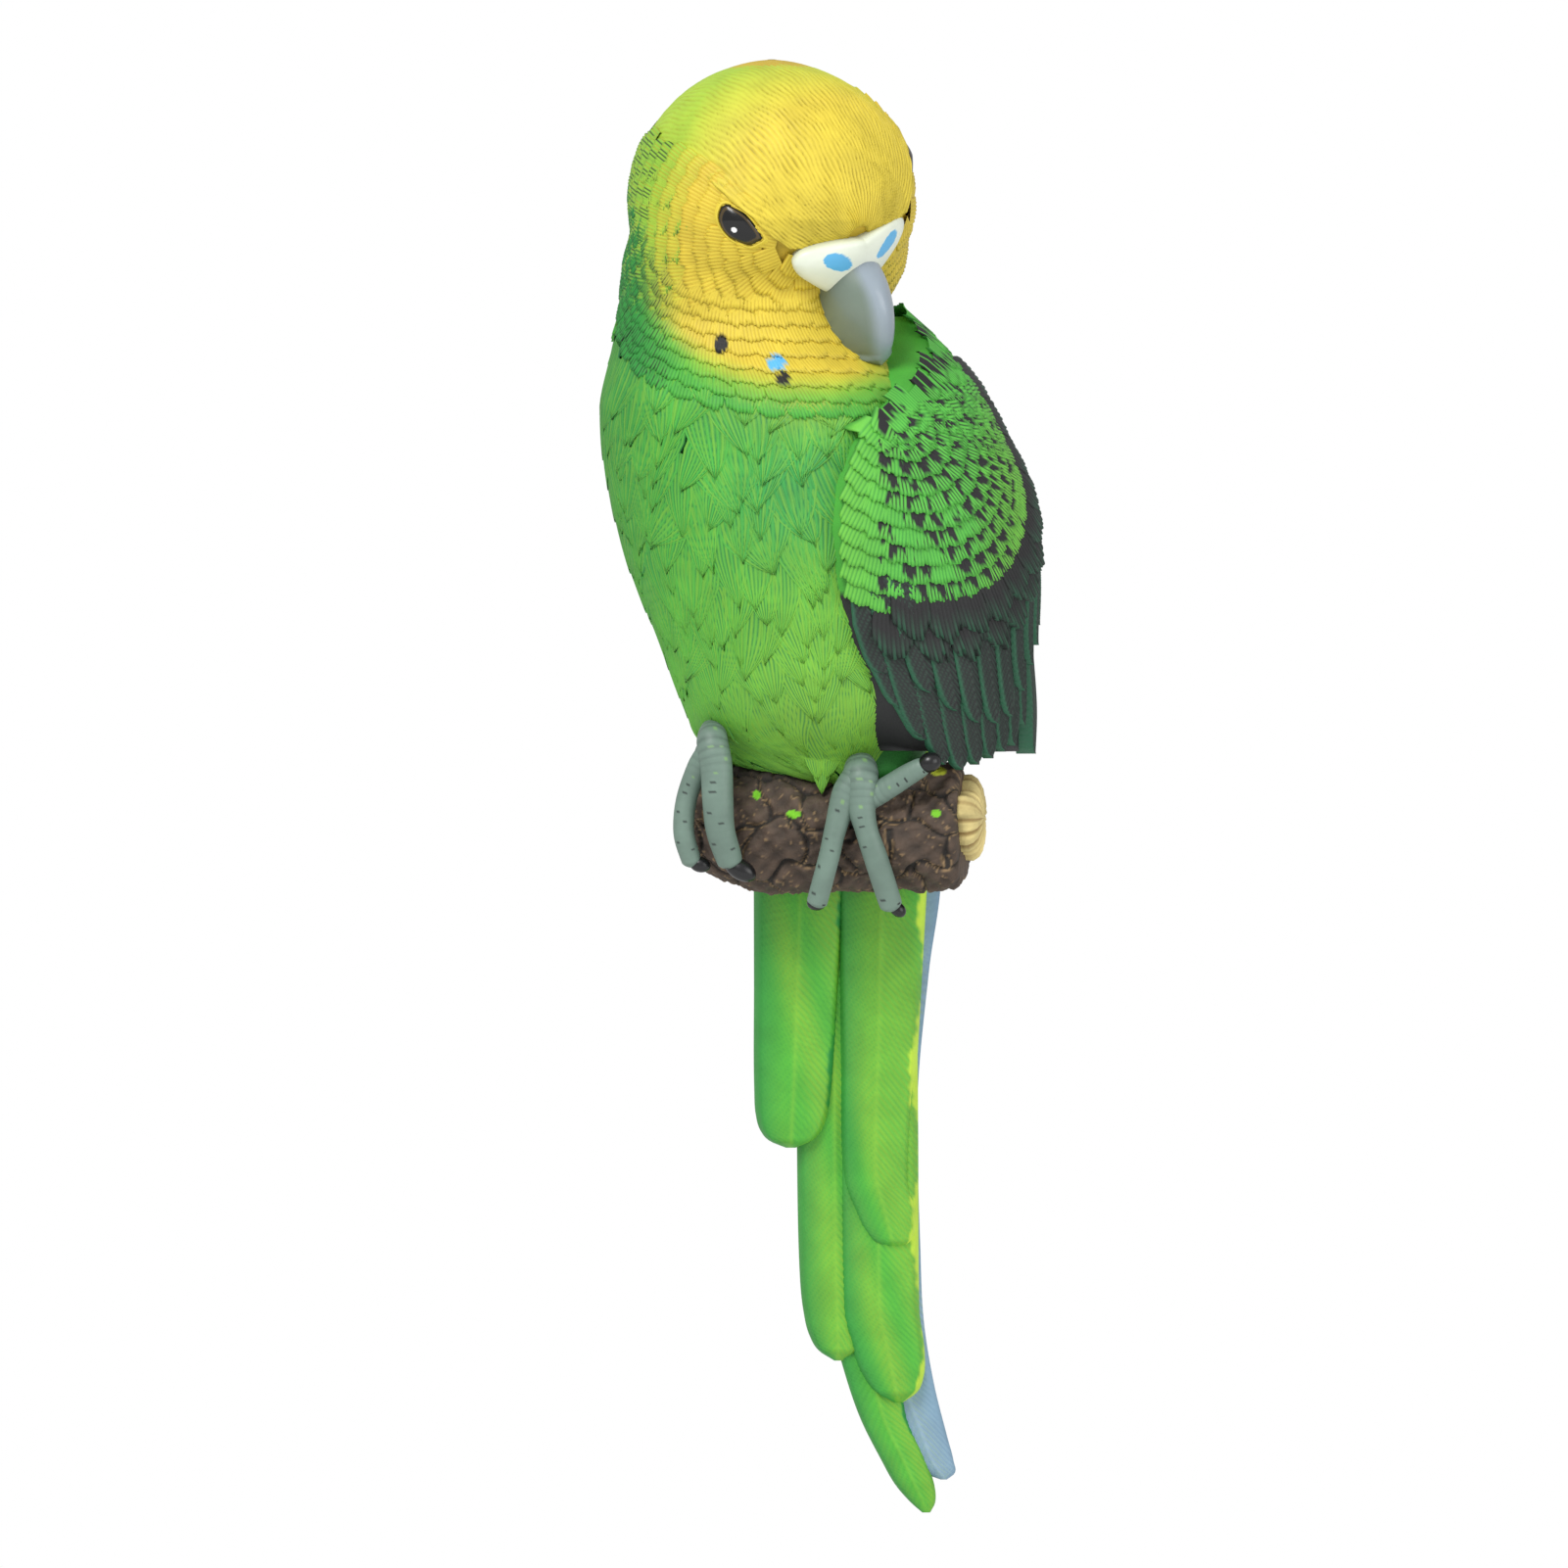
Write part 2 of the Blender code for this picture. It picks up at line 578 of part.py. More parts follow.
def build_face():
    """Eyes, the two lobes of the cere, the hooked beak and the chin."""
    made = []
    centre = head_centre()
    forward, side, up = head_frame()
    for sign in (-1, 1):
        way = head_direction(sign * EYE_AZIMUTH, EYE_HEIGHT)
        level = way.cross(up).normalized()
        high = level.cross(way).normalized()
        depth = 3.0 * MM
        seat = centre + way * (HEAD_RADIUS + EYE_PROUD - depth)
        made.append(ellipsoid("eye", seat, (level, high, way), (EYE_RADIUS, EYE_RADIUS * 0.92, depth), 10, 6))
        way = head_direction(sign * CERE_AZIMUTH, CERE_HEIGHT)
        level = way.cross(up).normalized()
        high = level.cross(way).normalized()
        seat = centre + way * (HEAD_RADIUS + CERE_PROUD - 4.5 * MM)
        made.append(ellipsoid("cere_lobe", seat, (level, high, way), (CERE_HALF_WIDTH, CERE_HALF_HEIGHT, 4.5 * MM)))
    rings = []
    for share, front, wide, back in BEAK_SECTIONS:
        level = -1.5 * MM - BEAK_LENGTH * share
        near = BEAK_FORWARD * front
        far = min(BEAK_BACK * back, near - 1.2 * MM)
        ring = []
        for s in range(12):
            turn = 2 * math.pi * s / 12
            reach = 0.5 * (near + far) + 0.5 * (near - far) * math.cos(turn)
            width = BEAK_HALF_WIDTH * wide * math.sin(turn)
            width *= 1.0 - 0.45 * max(math.cos(turn), 0.0) ** 2
            ring.append(centre + forward * reach + side * width + up * level)
        rings.append(ring)
    made.append(loft("beak", rings))
    chin = centre + forward * (BEAK_FORWARD * 0.62) + up * (-1.5 * MM - BEAK_LENGTH * 0.83)
    made.append(ellipsoid("lower_beak", chin, (forward, side, up), (CHIN_RADIUS * 1.4, CHIN_RADIUS, CHIN_RADIUS), 10, 6))
    return made


def tail_y(z):
    """Middle of the tail's thickness at a height: it leans back towards the wall."""
    share = (z - TAIL_TOP_Z) / (TAIL_TIP_Z - TAIL_TOP_Z)
    return TAIL_TOP_Y + (TAIL_TIP_Y - TAIL_TOP_Y) * (1.0 - (1.0 - share) ** 1.35)


def tail_blade(name, stations, forward_face, back_face):
    """Long feather through stations (z, middle x, half width), bevelled towards its edges."""
    rings = []
    for z, middle, half in stations:
        y = tail_y(z)
        pinch = min(1.0, half / (4.0 * MM))
        face = forward_face * (0.35 + 0.65 * pinch)
        rear = back_face * (0.35 + 0.65 * pinch)
        ring = [Vector((middle - half, y - face * 0.35, z)), Vector((middle - half * 0.75, y - face * 0.86, z)),
                Vector((middle, y - face, z)), Vector((middle + half * 0.75, y - face * 0.86, z)),
                Vector((middle + half, y - face * 0.35, z)), Vector((middle + half, y + rear * 0.4, z)),
                Vector((middle + half * 0.7, y + rear, z)), Vector((middle - half * 0.7, y + rear, z)),
                Vector((middle - half, y + rear * 0.4, z))]
        rings.append(ring)
    return loft(name, rings)


def build_tail():
    """Overlapping tail feathers, all as deep as the tail so that they are one mass behind."""
    made = []
    for top_x, low_x, tip, half_top, half_low, proud in TAIL_FEATHERS:
        tip_z = tip * MM
        stations = []
        for share, spread in ((0.0, 1.0), (0.3, 1.0), (0.6, 1.0), (0.85, 1.0), (0.93, 0.86), (0.98, 0.5), (1.0, 0.12)):
            z = TAIL_TOP_Z + (tip_z - TAIL_TOP_Z) * share
            middle = (top_x + (low_x - top_x) * share) * MM
            half = (half_top + (half_low - half_top) * min(1.0, share / 0.85)) * MM * spread
            stations.append((z, middle, half))
        made.append(tail_blade("tail_feather", stations, TAIL_THICKNESS * 0.5 + proud * MM, TAIL_THICKNESS * 0.42))
    long_green = ((-150.0, 8.0, 8.0), (-175.0, 9.5, 8.0), (-187.0, 11.2, 6.4), (-196.0, 12.8, 5.2),
                  (-205.0, 16.0, 5.0), (-211.5, 19.6, 4.0), (-216.0, 21.5, 2.5), (-218.4, 22.0, 0.8))
    scale = TAIL_TIP_Z / (-218.4 * MM)
    stations = [(z * MM * scale, x * MM, half * MM) for z, x, half in long_green]
    made.append(tail_blade("long_tail_feather", stations, TAIL_THICKNESS * 0.5 + 0.2 * MM, TAIL_THICKNESS * 0.4))
    blue = ((-62.0, 8.0, 17.0), (-92.0, 8.0, 16.6), (-110.0, 9.0, 13.2), (-140.0, 11.0, 8.8), (-165.0, 12.0, 8.4),
            (-180.0, 13.5, 7.6), (-193.0, 17.0, 6.2), (-203.0, 20.7, 5.0), (-209.0, 23.2, 4.0), (-212.0, 24.6, 2.0),
            (-213.0, 25.0, 0.6))
    stations = [(z * MM * scale, x * MM, half * MM) for z, x, half in blue]
    made.append(tail_blade("blue_tail_feather", stations, TAIL_THICKNESS * 0.3, TAIL_THICKNESS * 0.62))
    return made


def branch_point(along, turn, radius):
    """Point round the branch's leaning axis; turn 0 is the front, 90 the top."""
    lean = math.radians(BRANCH_TURN)
    spin = math.radians(turn)
    middle = 0.5 * (BRANCH_LEFT + BRANCH_RIGHT)
    axis = Vector((math.cos(lean), -math.sin(lean), 0.0))
    front = Vector((-math.sin(lean), -math.cos(lean), 0.0))
    base = Vector((middle, BRANCH_Y, BRANCH_Z)) + axis * ((along - middle) / math.cos(lean))
    return base + front * (radius * math.cos(spin)) + Vector((0.0, 0.0, 1.0)) * (radius * math.sin(spin))


def bark(along, turn):
    """Uneven radius of the bark."""
    spin = math.radians(turn)
    reach = along / MM
    lump = 0.5 * math.sin(3 * spin + 0.16 * reach) + 0.4 * math.sin(5 * spin - 0.23 * reach + 1.0)
    lump += 0.35 * math.sin(2 * spin + 0.41 * reach + 2.0) + 0.3 * math.sin(7 * spin + 0.55 * reach)
    return BRANCH_RADIUS + BRANCH_ROUGHNESS * lump


def build_branch():
    """Stub with rough bark, an uneven right end and bare broken wood standing out of it."""
    made = []
    sides = 16
    rings = []
    stations = (0.0, 0.03, 0.14, 0.27, 0.4, 0.53, 0.66, 0.79, 0.9, 0.975)
    for share in stations:
        along = BRANCH_LEFT + (BRANCH_RIGHT - BRANCH_LEFT) * share
        trim = 0.82 if share == 0.0 else 1.0
        rings.append([branch_point(along, 360.0 * k / sides, bark(along, 360.0 * k / sides) * trim)
                      for k in range(sides)])
    ragged = []
    for k in range(sides):
        turn = 360.0 * k / sides
        along = BRANCH_RIGHT + 1.1 * MM * math.sin(3.3 * math.radians(turn) + 0.7)
        ragged.append(branch_point(along, turn, bark(BRANCH_RIGHT, turn) * 0.86))
    rings.append(ragged)
    made.append(loft("branch", rings))
    rings = []
    for share, size in ((-1.5, 1.0), (0.35, 1.05), (0.8, 0.9), (1.0, 0.55)):
        ring = []
        for k in range(10):
            turn = 36.0 * k
            jag = 1.0 + 0.12 * math.sin(3 * math.radians(turn) + 1.3) + 0.1 * math.sin(5 * math.radians(turn))
            ring.append(branch_point(BRANCH_RIGHT + BREAK_LENGTH * share, turn, BREAK_RADIUS * size * jag)
                        + Vector((0.0, 0.0, 2.0 * MM)))
        rings.append(ring)
    made.append(loft("broken_wood", rings))
    return made


def build_rump():
    """Lump behind the branch that joins the belly to the root of the tail."""
    front_y = BRANCH_Y
    back_y = TAIL_TOP_Y + RUMP_OVERLAP
    low_z = BRANCH_Z - 0.4 * BRANCH_RADIUS
    high_z = BRANCH_Z + BRANCH_RADIUS + RUMP_OVERLAP * 2
    middle = Vector((0.5 * (BRANCH_LEFT + BRANCH_RIGHT) + 0.1 * RUMP_HALF_WIDTH, 0.5 * (front_y + back_y),
                     0.5 * (low_z + high_z)))
    axes = (Vector((1, 0, 0)), Vector((0, 1, 0)), Vector((0, 0, 1)))
    halves = (RUMP_HALF_WIDTH, 0.5 * (back_y - front_y) * 1.2, 0.5 * (high_z - low_z) * 1.15)
    return [ellipsoid("rump", middle, axes, halves, 10, 6)]


def over_branch(x, z, clear):
    """Point on or hanging from the branch's front at (x, z), lifted off it by clear."""
    lean = math.radians(BRANCH_TURN)
    middle = 0.5 * (BRANCH_LEFT + BRANCH_RIGHT)
    axis_y = BRANCH_Y - (x - middle) * math.tan(lean)
    rise = min(max((z - BRANCH_Z) / (BRANCH_RADIUS + clear), -0.98), 0.98)
    return Vector((x, axis_y - (BRANCH_RADIUS + clear) * math.sqrt(1.0 - rise * rise), z))


def build_feet():
    """Toes laid over the front of the branch, each with its claw."""
    made = []
    toes = (
        ((-20.5, -62.0), (-23.6, -69.0), (-25.0, -76.0), (-25.0, -82.0), (-23.8, -86.2), (-23.2, -90.0), 0.95),
        ((-20.0, -63.0), (-19.6, -70.0), (-19.2, -76.0), (-18.6, -81.5), (-17.4, -85.6), (-13.8, -90.8), 1.0),
        ((7.6, -72.0), (6.6, -78.0), (4.4, -84.0), (2.6, -89.0), (0.9, -93.2), (0.2, -95.6), 0.95),
        ((7.6, -72.0), (8.8, -78.5), (11.2, -84.5), (13.0, -90.0), (14.4, -94.6), (16.2, -97.8), 0.95),
        ((7.0, -74.0), (10.5, -73.4), (13.4, -71.6), (16.0, -70.4), (18.6, -69.2), (22.6, -68.6), 0.9),
    )
    for points in toes:
        size = points[-1]
        path = [over_branch(x * MM, z * MM, 1.0 * MM) for x, z in points[:5]]
        path[0] = path[0] + Vector((0.0, 5.0 * MM, 2.0 * MM))
        radii = [TOE_RADIUS * size * share for share in (1.05, 1.1, 1.0, 1.0, 0.82)]
        made.append(tube("toe", path, radii, 7, 0.92))
        tip = points[5]
        root = over_branch(points[4][0] * MM, points[4][1] * MM, 1.0 * MM)
        end = over_branch(tip[0] * MM, tip[1] * MM, 0.4 * MM)
        along = (end - root).normalized()
        across = along.cross(Vector((0.0, -1.0, 0.0))).normalized()
        reach = 0.5 * (end - root).length + CLAW_RADIUS * 0.8
        made.append(ellipsoid("claw", (root + end) * 0.5, (along, across, along.cross(across)),
                              (reach, CLAW_RADIUS, CLAW_RADIUS), 8, 5))
    return made


def build_pad():
    """Boss that bears on the wall."""
    rings = []
    for share in (0.0, 0.5, 1.0):
        grow = 1.0 + (PAD_FLARE - 1.0) * share
        ring = []
        for k in range(20):
            turn = 2 * math.pi * k / 20
            ring.append(Vector((PAD_HALF_WIDTH * grow * math.cos(turn), -PAD_DEPTH * share,
                                PAD_Z + PAD_HALF_HEIGHT * grow * math.sin(turn))))
        rings.append(ring)
    return [loft("pad", rings)]


def build_keyhole():
    """Cutter for the nail: a round entry with a slot rising from it."""
    rings = []
    half = 0.5 * KEYHOLE_SLOT
    top = KEYHOLE_Z + KEYHOLE_RISE
    start = math.degrees(math.asin(min(half / KEYHOLE_RADIUS, 0.95)))
    outline = []
    for k in range(13):
        turn = math.radians(90.0 + start + (360.0 - 2 * start) * k / 12)
        outline.append((KEYHOLE_RADIUS * math.cos(turn), KEYHOLE_Z + KEYHOLE_RADIUS * math.sin(turn)))
    for k in range(7):
        turn = math.radians(180.0 * k / 6)
        outline.append((half * math.cos(turn), top + half * math.sin(turn)))
    for y in (2.0 * MM, -KEYHOLE_DEPTH):
        rings.append([Vector((x, y, z)) for x, z in outline])
    return loft("keyhole", rings)


def fill_sealed_gaps(data):
    """Take out the skins of small gaps shut in where feathers overlap, which fills them."""
    waiting = set(data.faces)
    while waiting:
        seed = waiting.pop()
        shell = [seed]
        for face in shell:
            for edge in face.edges:
                for other in edge.link_faces:
                    if other in waiting:
                        waiting.remove(other)
                        shell.append(other)
        volume = 0.0
        for face in shell:
            a, b, c = [vertex.co for vertex in face.verts]
            volume += a.dot(b.cross(c)) / 6.0
        if volume < 0.0:
            bmesh.ops.delete(data, geom=shell, context="FACES")


def combine(base, parts, cutter):
    """Join the parts to the base, cut the keyhole and keep one clean closed mesh."""
    group = bpy.data.collections.new("parts")
    bpy.context.scene.collection.children.link(group)
    for item in parts:
        bpy.context.scene.collection.objects.unlink(item)
        group.objects.link(item)
    join = base.modifiers.new("join", "BOOLEAN")
    join.operation = "UNION"
    join.solver = "EXACT"
    join.operand_type = "COLLECTION"
    join.collection = group
    cut = base.modifiers.new("keyhole", "BOOLEAN")
    cut.operation = "DIFFERENCE"
    cut.solver = "EXACT"
    cut.object = cutter
    bpy.context.view_layer.update()
    graph = bpy.context.evaluated_depsgraph_get()
    mesh = bpy.data.meshes.new_from_object(base.evaluated_get(graph))
    for item in parts + [cutter, base]:
        bpy.data.objects.remove(item, do_unlink=True)
    bpy.data.collections.remove(group)
    data = bmesh.new()
    data.from_mesh(mesh)
    bmesh.ops.remove_doubles(data, verts=data.verts, dist=0.000001)
    bmesh.ops.triangulate(data, faces=data.faces)
    fill_sealed_gaps(data)
    data.to_mesh(mesh)
    data.free()
    mesh.name = "parrot_figurine"
    figure = bpy.data.objects.new("parrot_figurine", mesh)
    bpy.context.scene.collection.objects.link(figure)
    return figure


def paint(figure):
    """Plain leaf-green finish of the casting."""
    finish = bpy.data.materials.new("painted_resin")
    finish.use_nodes = True
    shader = finish.node_tree.nodes["Principled BSDF"]
    shader.inputs["Base Color"].default_value = (0.16, 0.45, 0.06, 1.0)
    shader.inputs["Roughness"].default_value = 0.6
    figure.data.materials.clear()
    figure.data.materials.append(finish)


clear_scene()
core = build_core()
pieces = build_wing_slab() + build_flights() + build_coverts() + build_back() + build_breast()
pieces += build_cheeks() + build_crown() + build_face() + build_tail() + build_branch() + build_rump()
pieces += build_feet() + build_pad()
figurine = combine(core, pieces, build_keyhole())
paint(figurine)
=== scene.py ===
import math
import bmesh
import bpy
import numpy as np
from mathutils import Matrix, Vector


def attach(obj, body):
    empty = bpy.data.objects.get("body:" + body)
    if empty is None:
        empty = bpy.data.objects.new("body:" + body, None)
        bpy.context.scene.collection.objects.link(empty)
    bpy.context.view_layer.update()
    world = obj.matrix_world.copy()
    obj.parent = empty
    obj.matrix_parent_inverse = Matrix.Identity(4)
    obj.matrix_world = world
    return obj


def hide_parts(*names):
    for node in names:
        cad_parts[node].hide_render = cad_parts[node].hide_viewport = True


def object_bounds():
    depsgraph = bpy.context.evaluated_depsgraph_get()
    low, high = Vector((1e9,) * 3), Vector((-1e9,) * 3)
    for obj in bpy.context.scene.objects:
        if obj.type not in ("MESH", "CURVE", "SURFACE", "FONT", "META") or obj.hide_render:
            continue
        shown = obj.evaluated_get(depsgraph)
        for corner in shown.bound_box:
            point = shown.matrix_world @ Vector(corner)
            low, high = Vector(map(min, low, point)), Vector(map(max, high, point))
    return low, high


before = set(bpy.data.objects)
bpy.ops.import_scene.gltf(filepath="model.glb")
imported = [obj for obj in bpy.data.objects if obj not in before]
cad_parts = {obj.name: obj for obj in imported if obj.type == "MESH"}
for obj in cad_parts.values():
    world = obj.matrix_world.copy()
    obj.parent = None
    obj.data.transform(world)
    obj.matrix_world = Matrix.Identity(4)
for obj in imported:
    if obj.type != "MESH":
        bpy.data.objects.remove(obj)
cad_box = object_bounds()
MM = 0.001

# Camera and light. A long lens looks level at the front of the figurine, as in the photograph,
# under soft light from the upper left. The pale floor lies below the tail.
AIM_X, AIM_Z = -6.96, -72.6
LENS_Y, PICTURE_Y = -1545.0, -45.0
PICTURE_WIDTH = 313.8
scene = bpy.context.scene
scene.view_settings.view_transform = "Standard"
lens = bpy.data.cameras.new("camera")
lens.sensor_width = 36.0
lens.lens = lens.sensor_width * (PICTURE_Y - LENS_Y) / PICTURE_WIDTH
camera = bpy.data.objects.new("camera", lens)
camera.location = (AIM_X * MM, LENS_Y * MM, AIM_Z * MM)
camera.rotation_euler = (math.radians(90.0), 0.0, 0.0)
scene.collection.objects.link(camera)
scene.camera = camera


def add_lamp(name, place, aim, size, power):
    """Square soft lamp that faces a point."""
    lamp = bpy.data.lights.new(name, "AREA")
    lamp.size = size
    lamp.energy = power
    item = bpy.data.objects.new(name, lamp)
    item.location = place
    item.rotation_euler = (Vector(aim) - Vector(place)).to_track_quat("-Z", "Y").to_euler()
    scene.collection.objects.link(item)


add_lamp("key_lamp", (-0.45, -1.0, 0.75), (0.0, -0.04, -0.02), 0.55, 12.0)
add_lamp("side_lamp", (0.9, -0.8, 0.1), (0.0, -0.04, -0.05), 0.7, 4.0)
world = bpy.data.worlds.new("studio")
scene.world = world
world.use_nodes = True
tree = world.node_tree
backing = tree.nodes["Background"]
backing.inputs["Color"].default_value = (1.0, 1.0, 1.0, 1.0)
rays = tree.nodes.new("ShaderNodeLightPath")
seen = tree.nodes.new("ShaderNodeMath")
seen.operation = "MAXIMUM"
tree.links.new(rays.outputs["Is Camera Ray"], seen.inputs[0])
tree.links.new(rays.outputs["Is Transmission Ray"], seen.inputs[1])
level = tree.nodes.new("ShaderNodeMapRange")
level.inputs["To Min"].default_value = 0.62
level.inputs["To Max"].default_value = 1.0
tree.links.new(seen.outputs[0], level.inputs["Value"])
tree.links.new(level.outputs["Result"], backing.inputs["Strength"])

FLOOR_HALF, FLOOR_Z = 0.6, -0.32
floor_data = bpy.data.meshes.new("floor")
corners = [(x * FLOOR_HALF, y * FLOOR_HALF, FLOOR_Z) for x, y in ((-1, -1), (1, -1), (1, 1), (-1, 1))]
floor_data.from_pydata(corners, [], [(0, 1, 2, 3)])
floor = bpy.data.objects.new("floor", floor_data)
scene.collection.objects.link(floor)
pale = bpy.data.materials.new("floor_paint")
pale.use_nodes = True
pale.node_tree.nodes["Principled BSDF"].inputs["Base Color"].default_value = (0.86, 0.86, 0.86, 1.0)
pale.node_tree.nodes["Principled BSDF"].inputs["Roughness"].default_value = 0.9
floor_data.materials.append(pale)

# Smooth mass of the bird under its feathers. It is the casting's core: a ball for the head, two
# full cheeks, a neck and a deep body, painted green. The feathers of the next sections lie on it.
HEAD_CENTRE = np.array([-9.4, -49.5, 43.7])
HEAD_RADIUS = 28.2
HEAD_BASE = 38.0
# Stations of the body and of the wings: height, middle x, half width, middle y, half depth.
BODY = np.array([
    (-73.0, 7.0, 6.0, -45.0, 5.0), (-71.0, 5.5, 13.5, -44.0, 9.5), (-69.0, 3.0, 19.0, -42.0, 12.0),
    (-67.0, 1.5, 20.8, -40.0, 15.0), (-64.0, 0.0, 23.6, -39.0, 20.0), (-58.0, -0.6, 25.8, -40.4, 25.6),
    (-44.0, -1.4, 30.4, -39.6, 30.8), (-28.0, -3.2, 35.0, -39.4, 34.4),
    (-12.0, -4.6, 37.6, -39.7, 35.8), (2.0, -7.6, 36.0, -40.4, 34.9), (14.0, -13.4, 28.2, -40.0, 28.4),
    (24.0, -14.6, 25.0, -41.4, 25.8), (31.0, -12.2, 26.6, -45.6, 26.8),
    (HEAD_BASE, -9.4, 27.62, -49.5, 27.62),
])
WING = np.array([
    (-68.0, 10.0, 31.0, -33.0, 29.0), (-58.0, 7.4, 34.6, -35.0, 31.6), (-44.0, 4.2, 38.0, -37.0, 34.6),
    (-28.0, 1.6, 41.6, -39.0, 37.0), (-14.0, -0.6, 42.2, -39.8, 38.0), (-2.0, -3.8, 40.0, -40.3, 37.6),
    (8.0, -6.2, 36.9, -40.6, 33.6), (16.0, -8.0, 32.0, -40.6, 29.0), (23.0, -11.0, 28.0, -42.0, 26.0),
])


def held(value):
    """Value kept between 0 and 1."""
    return np.clip(value, 0.0, 1.0)


def smooth(table, z):
    """Columns of a table of stations at heights z, on curves through them that never overshoot."""
    z = np.clip(z, table[0, 0], table[-1, 0])
    knots = table[:, 0]
    rates = np.diff(table[:, 1:], axis=0) / np.diff(knots)[:, None]
    slopes = np.vstack((rates[:1], 0.5 * (rates[:-1] + rates[1:]), rates[-1:]))
    caps = 3.0 * np.minimum(np.abs(np.vstack((rates[:1], rates))), np.abs(np.vstack((rates, rates[-1:]))))
    slopes = np.clip(slopes, -caps, caps)
    index = np.clip(np.searchsorted(knots, z, side="right") - 1, 0, len(knots) - 2)
    step = knots[index + 1] - knots[index]
    t = ((z - knots[index]) / step)[..., None]
    step = step[..., None]
    low = (1 + 2 * t) * (1 - t) ** 2 * table[index, 1:] + t * (1 - t) ** 2 * step * slopes[index]
    high = t * t * (3 - 2 * t) * table[index + 1, 1:] + t * t * (t - 1) * step * slopes[index + 1]
    return np.moveaxis(low + high, -1, 0)


def body_section(z):
    """Middle x, half width, middle y and half depth of head and body."""
    z = np.asarray(z, dtype=float)
    columns = smooth(BODY, z)
    half = np.sqrt(np.maximum(HEAD_RADIUS ** 2 - (z - HEAD_CENTRE[2]) ** 2, 0.01))
    ball = np.array(np.broadcast_arrays(HEAD_CENTRE[0], half, HEAD_CENTRE[1], half))
    return np.where(z > HEAD_BASE, ball, columns)


def head_axes():
    """Forward, side (the bird's left) and up of the turned and tipped head."""
    yaw, pitch, roll = math.radians(43.0), math.radians(-18.5), math.radians(20.0)
    forward = np.array([math.sin(yaw) * math.cos(pitch), -math.cos(yaw) * math.cos(pitch), math.sin(pitch)])
    flat = np.array([math.cos(yaw), math.sin(yaw), 0.0])
    up = np.cross(forward, flat)
    return (forward, flat * math.cos(roll) + up * math.sin(roll), up * math.cos(roll) - flat * math.sin(roll))


FORWARD, SIDE, UP = head_axes()


def head_way(azimuth, height):
    """Unit vectors in the head's frame, from degrees."""
    a = np.radians(np.asarray(azimuth, dtype=float))[..., None]
    e = np.radians(np.asarray(height, dtype=float))[..., None]
    return FORWARD * np.cos(e) * np.cos(a) + SIDE * np.cos(e) * np.sin(a) + UP * np.sin(e)


CHEEK_RADIUS, CHEEK_BLEND = 16.0, 3.5
CHEEKS = [HEAD_CENTRE + FORWARD * 1.4 + SIDE * (sign * 12.5) - UP * 12.5 for sign in (-1, 1)]


def depth_in(points):
    """How deep points lie in the smooth mass, in mm; head, cheeks and body run into each other."""
    x_mid, x_half, y_mid, y_half = body_section(points[..., 2])
    reach = np.sqrt(((points[..., 0] - x_mid) / x_half) ** 2 + ((points[..., 1] - y_mid) / y_half) ** 2)
    ball = HEAD_RADIUS - np.linalg.norm(points - HEAD_CENTRE, axis=-1)
    depth = np.where(points[..., 2] > HEAD_BASE, ball, (1.0 - reach) * np.minimum(x_half, y_half))
    for middle in CHEEKS:
        cheek = CHEEK_RADIUS - np.linalg.norm(points - middle, axis=-1)
        blend = held(0.5 + 0.5 * (cheek - depth) / CHEEK_BLEND)
        depth = depth * (1 - blend) + cheek * blend + CHEEK_BLEND * blend * (1 - blend) * 0.6
    return depth


def skin_reach(start, way, near=4.0, far=60.0):
    """Distance along each ray to the skin."""
    low = np.full(way.shape[:-1], near)
    high = np.full(way.shape[:-1], far)
    for step in range(20):
        middle = 0.5 * (low + high)
        inside = depth_in(start + way * middle[..., None]) > 0.0
        low = np.where(inside, middle, low)
        high = np.where(inside, high, middle)
    return low


def round_way(angle):
    """Level unit vectors away from the body's axis; 0 degrees is the front, 90 the bird's left wing."""
    turn = np.radians(angle)
    return np.stack((np.sin(turn), -np.cos(turn), np.zeros_like(turn)), axis=-1)


def on_body(angle, z, rise):
    """Points over the body's skin."""
    x_mid, x_half, y_mid, y_half = body_section(z)
    turn = np.radians(angle)
    return np.stack((x_mid + (x_half + rise) * np.sin(turn), y_mid - (y_half + rise) * np.cos(turn),
                     z + 0.0 * turn), axis=-1)


WING_END = 252.0
EDGE_HEIGHTS = (-67.0, -62.5, -57.0, -51.0, -45.0, -37.0, -22.0, -14.0, -6.0, 1.0, 8.0, 14.0, 21.0)
EDGE_ANGLES = (24.0, 18.0, 12.0, 8.8, 5.0, 3.0, 3.5, 6.5, 14.0, 27.0, 44.0, 64.0, 84.0)


def on_wing(angle, z, rise):
    """Points over the wider form of the folded wings and the back, which ends in the body."""
    share = held((WING_END - angle) / 70.0)
    ramp = held((z + 2.0) / 10.0)
    edge = np.interp(z, EDGE_HEIGHTS, EDGE_ANGLES)
    share = share * held((angle - edge + 4.0 + 20.0 * ramp) / (2.0 + 20.0 * ramp))
    share = (share * share * (3 - 2 * share))[..., None]
    body = on_body(angle, z, 0.0 * angle)
    x_mid, x_half, y_mid, y_half = smooth(WING, z)
    turn = np.radians(angle)
    wing = np.stack((x_mid + x_half * np.sin(turn), y_mid - y_half * np.cos(turn), z + 0.0 * turn), axis=-1)
    away = round_way(angle)
    wing = np.where(np.sum((wing - body) * away, axis=-1, keepdims=True) < 0.0, body, wing)
    return body * (1 - share) + wing * share + away * np.asarray(rise)[..., None]


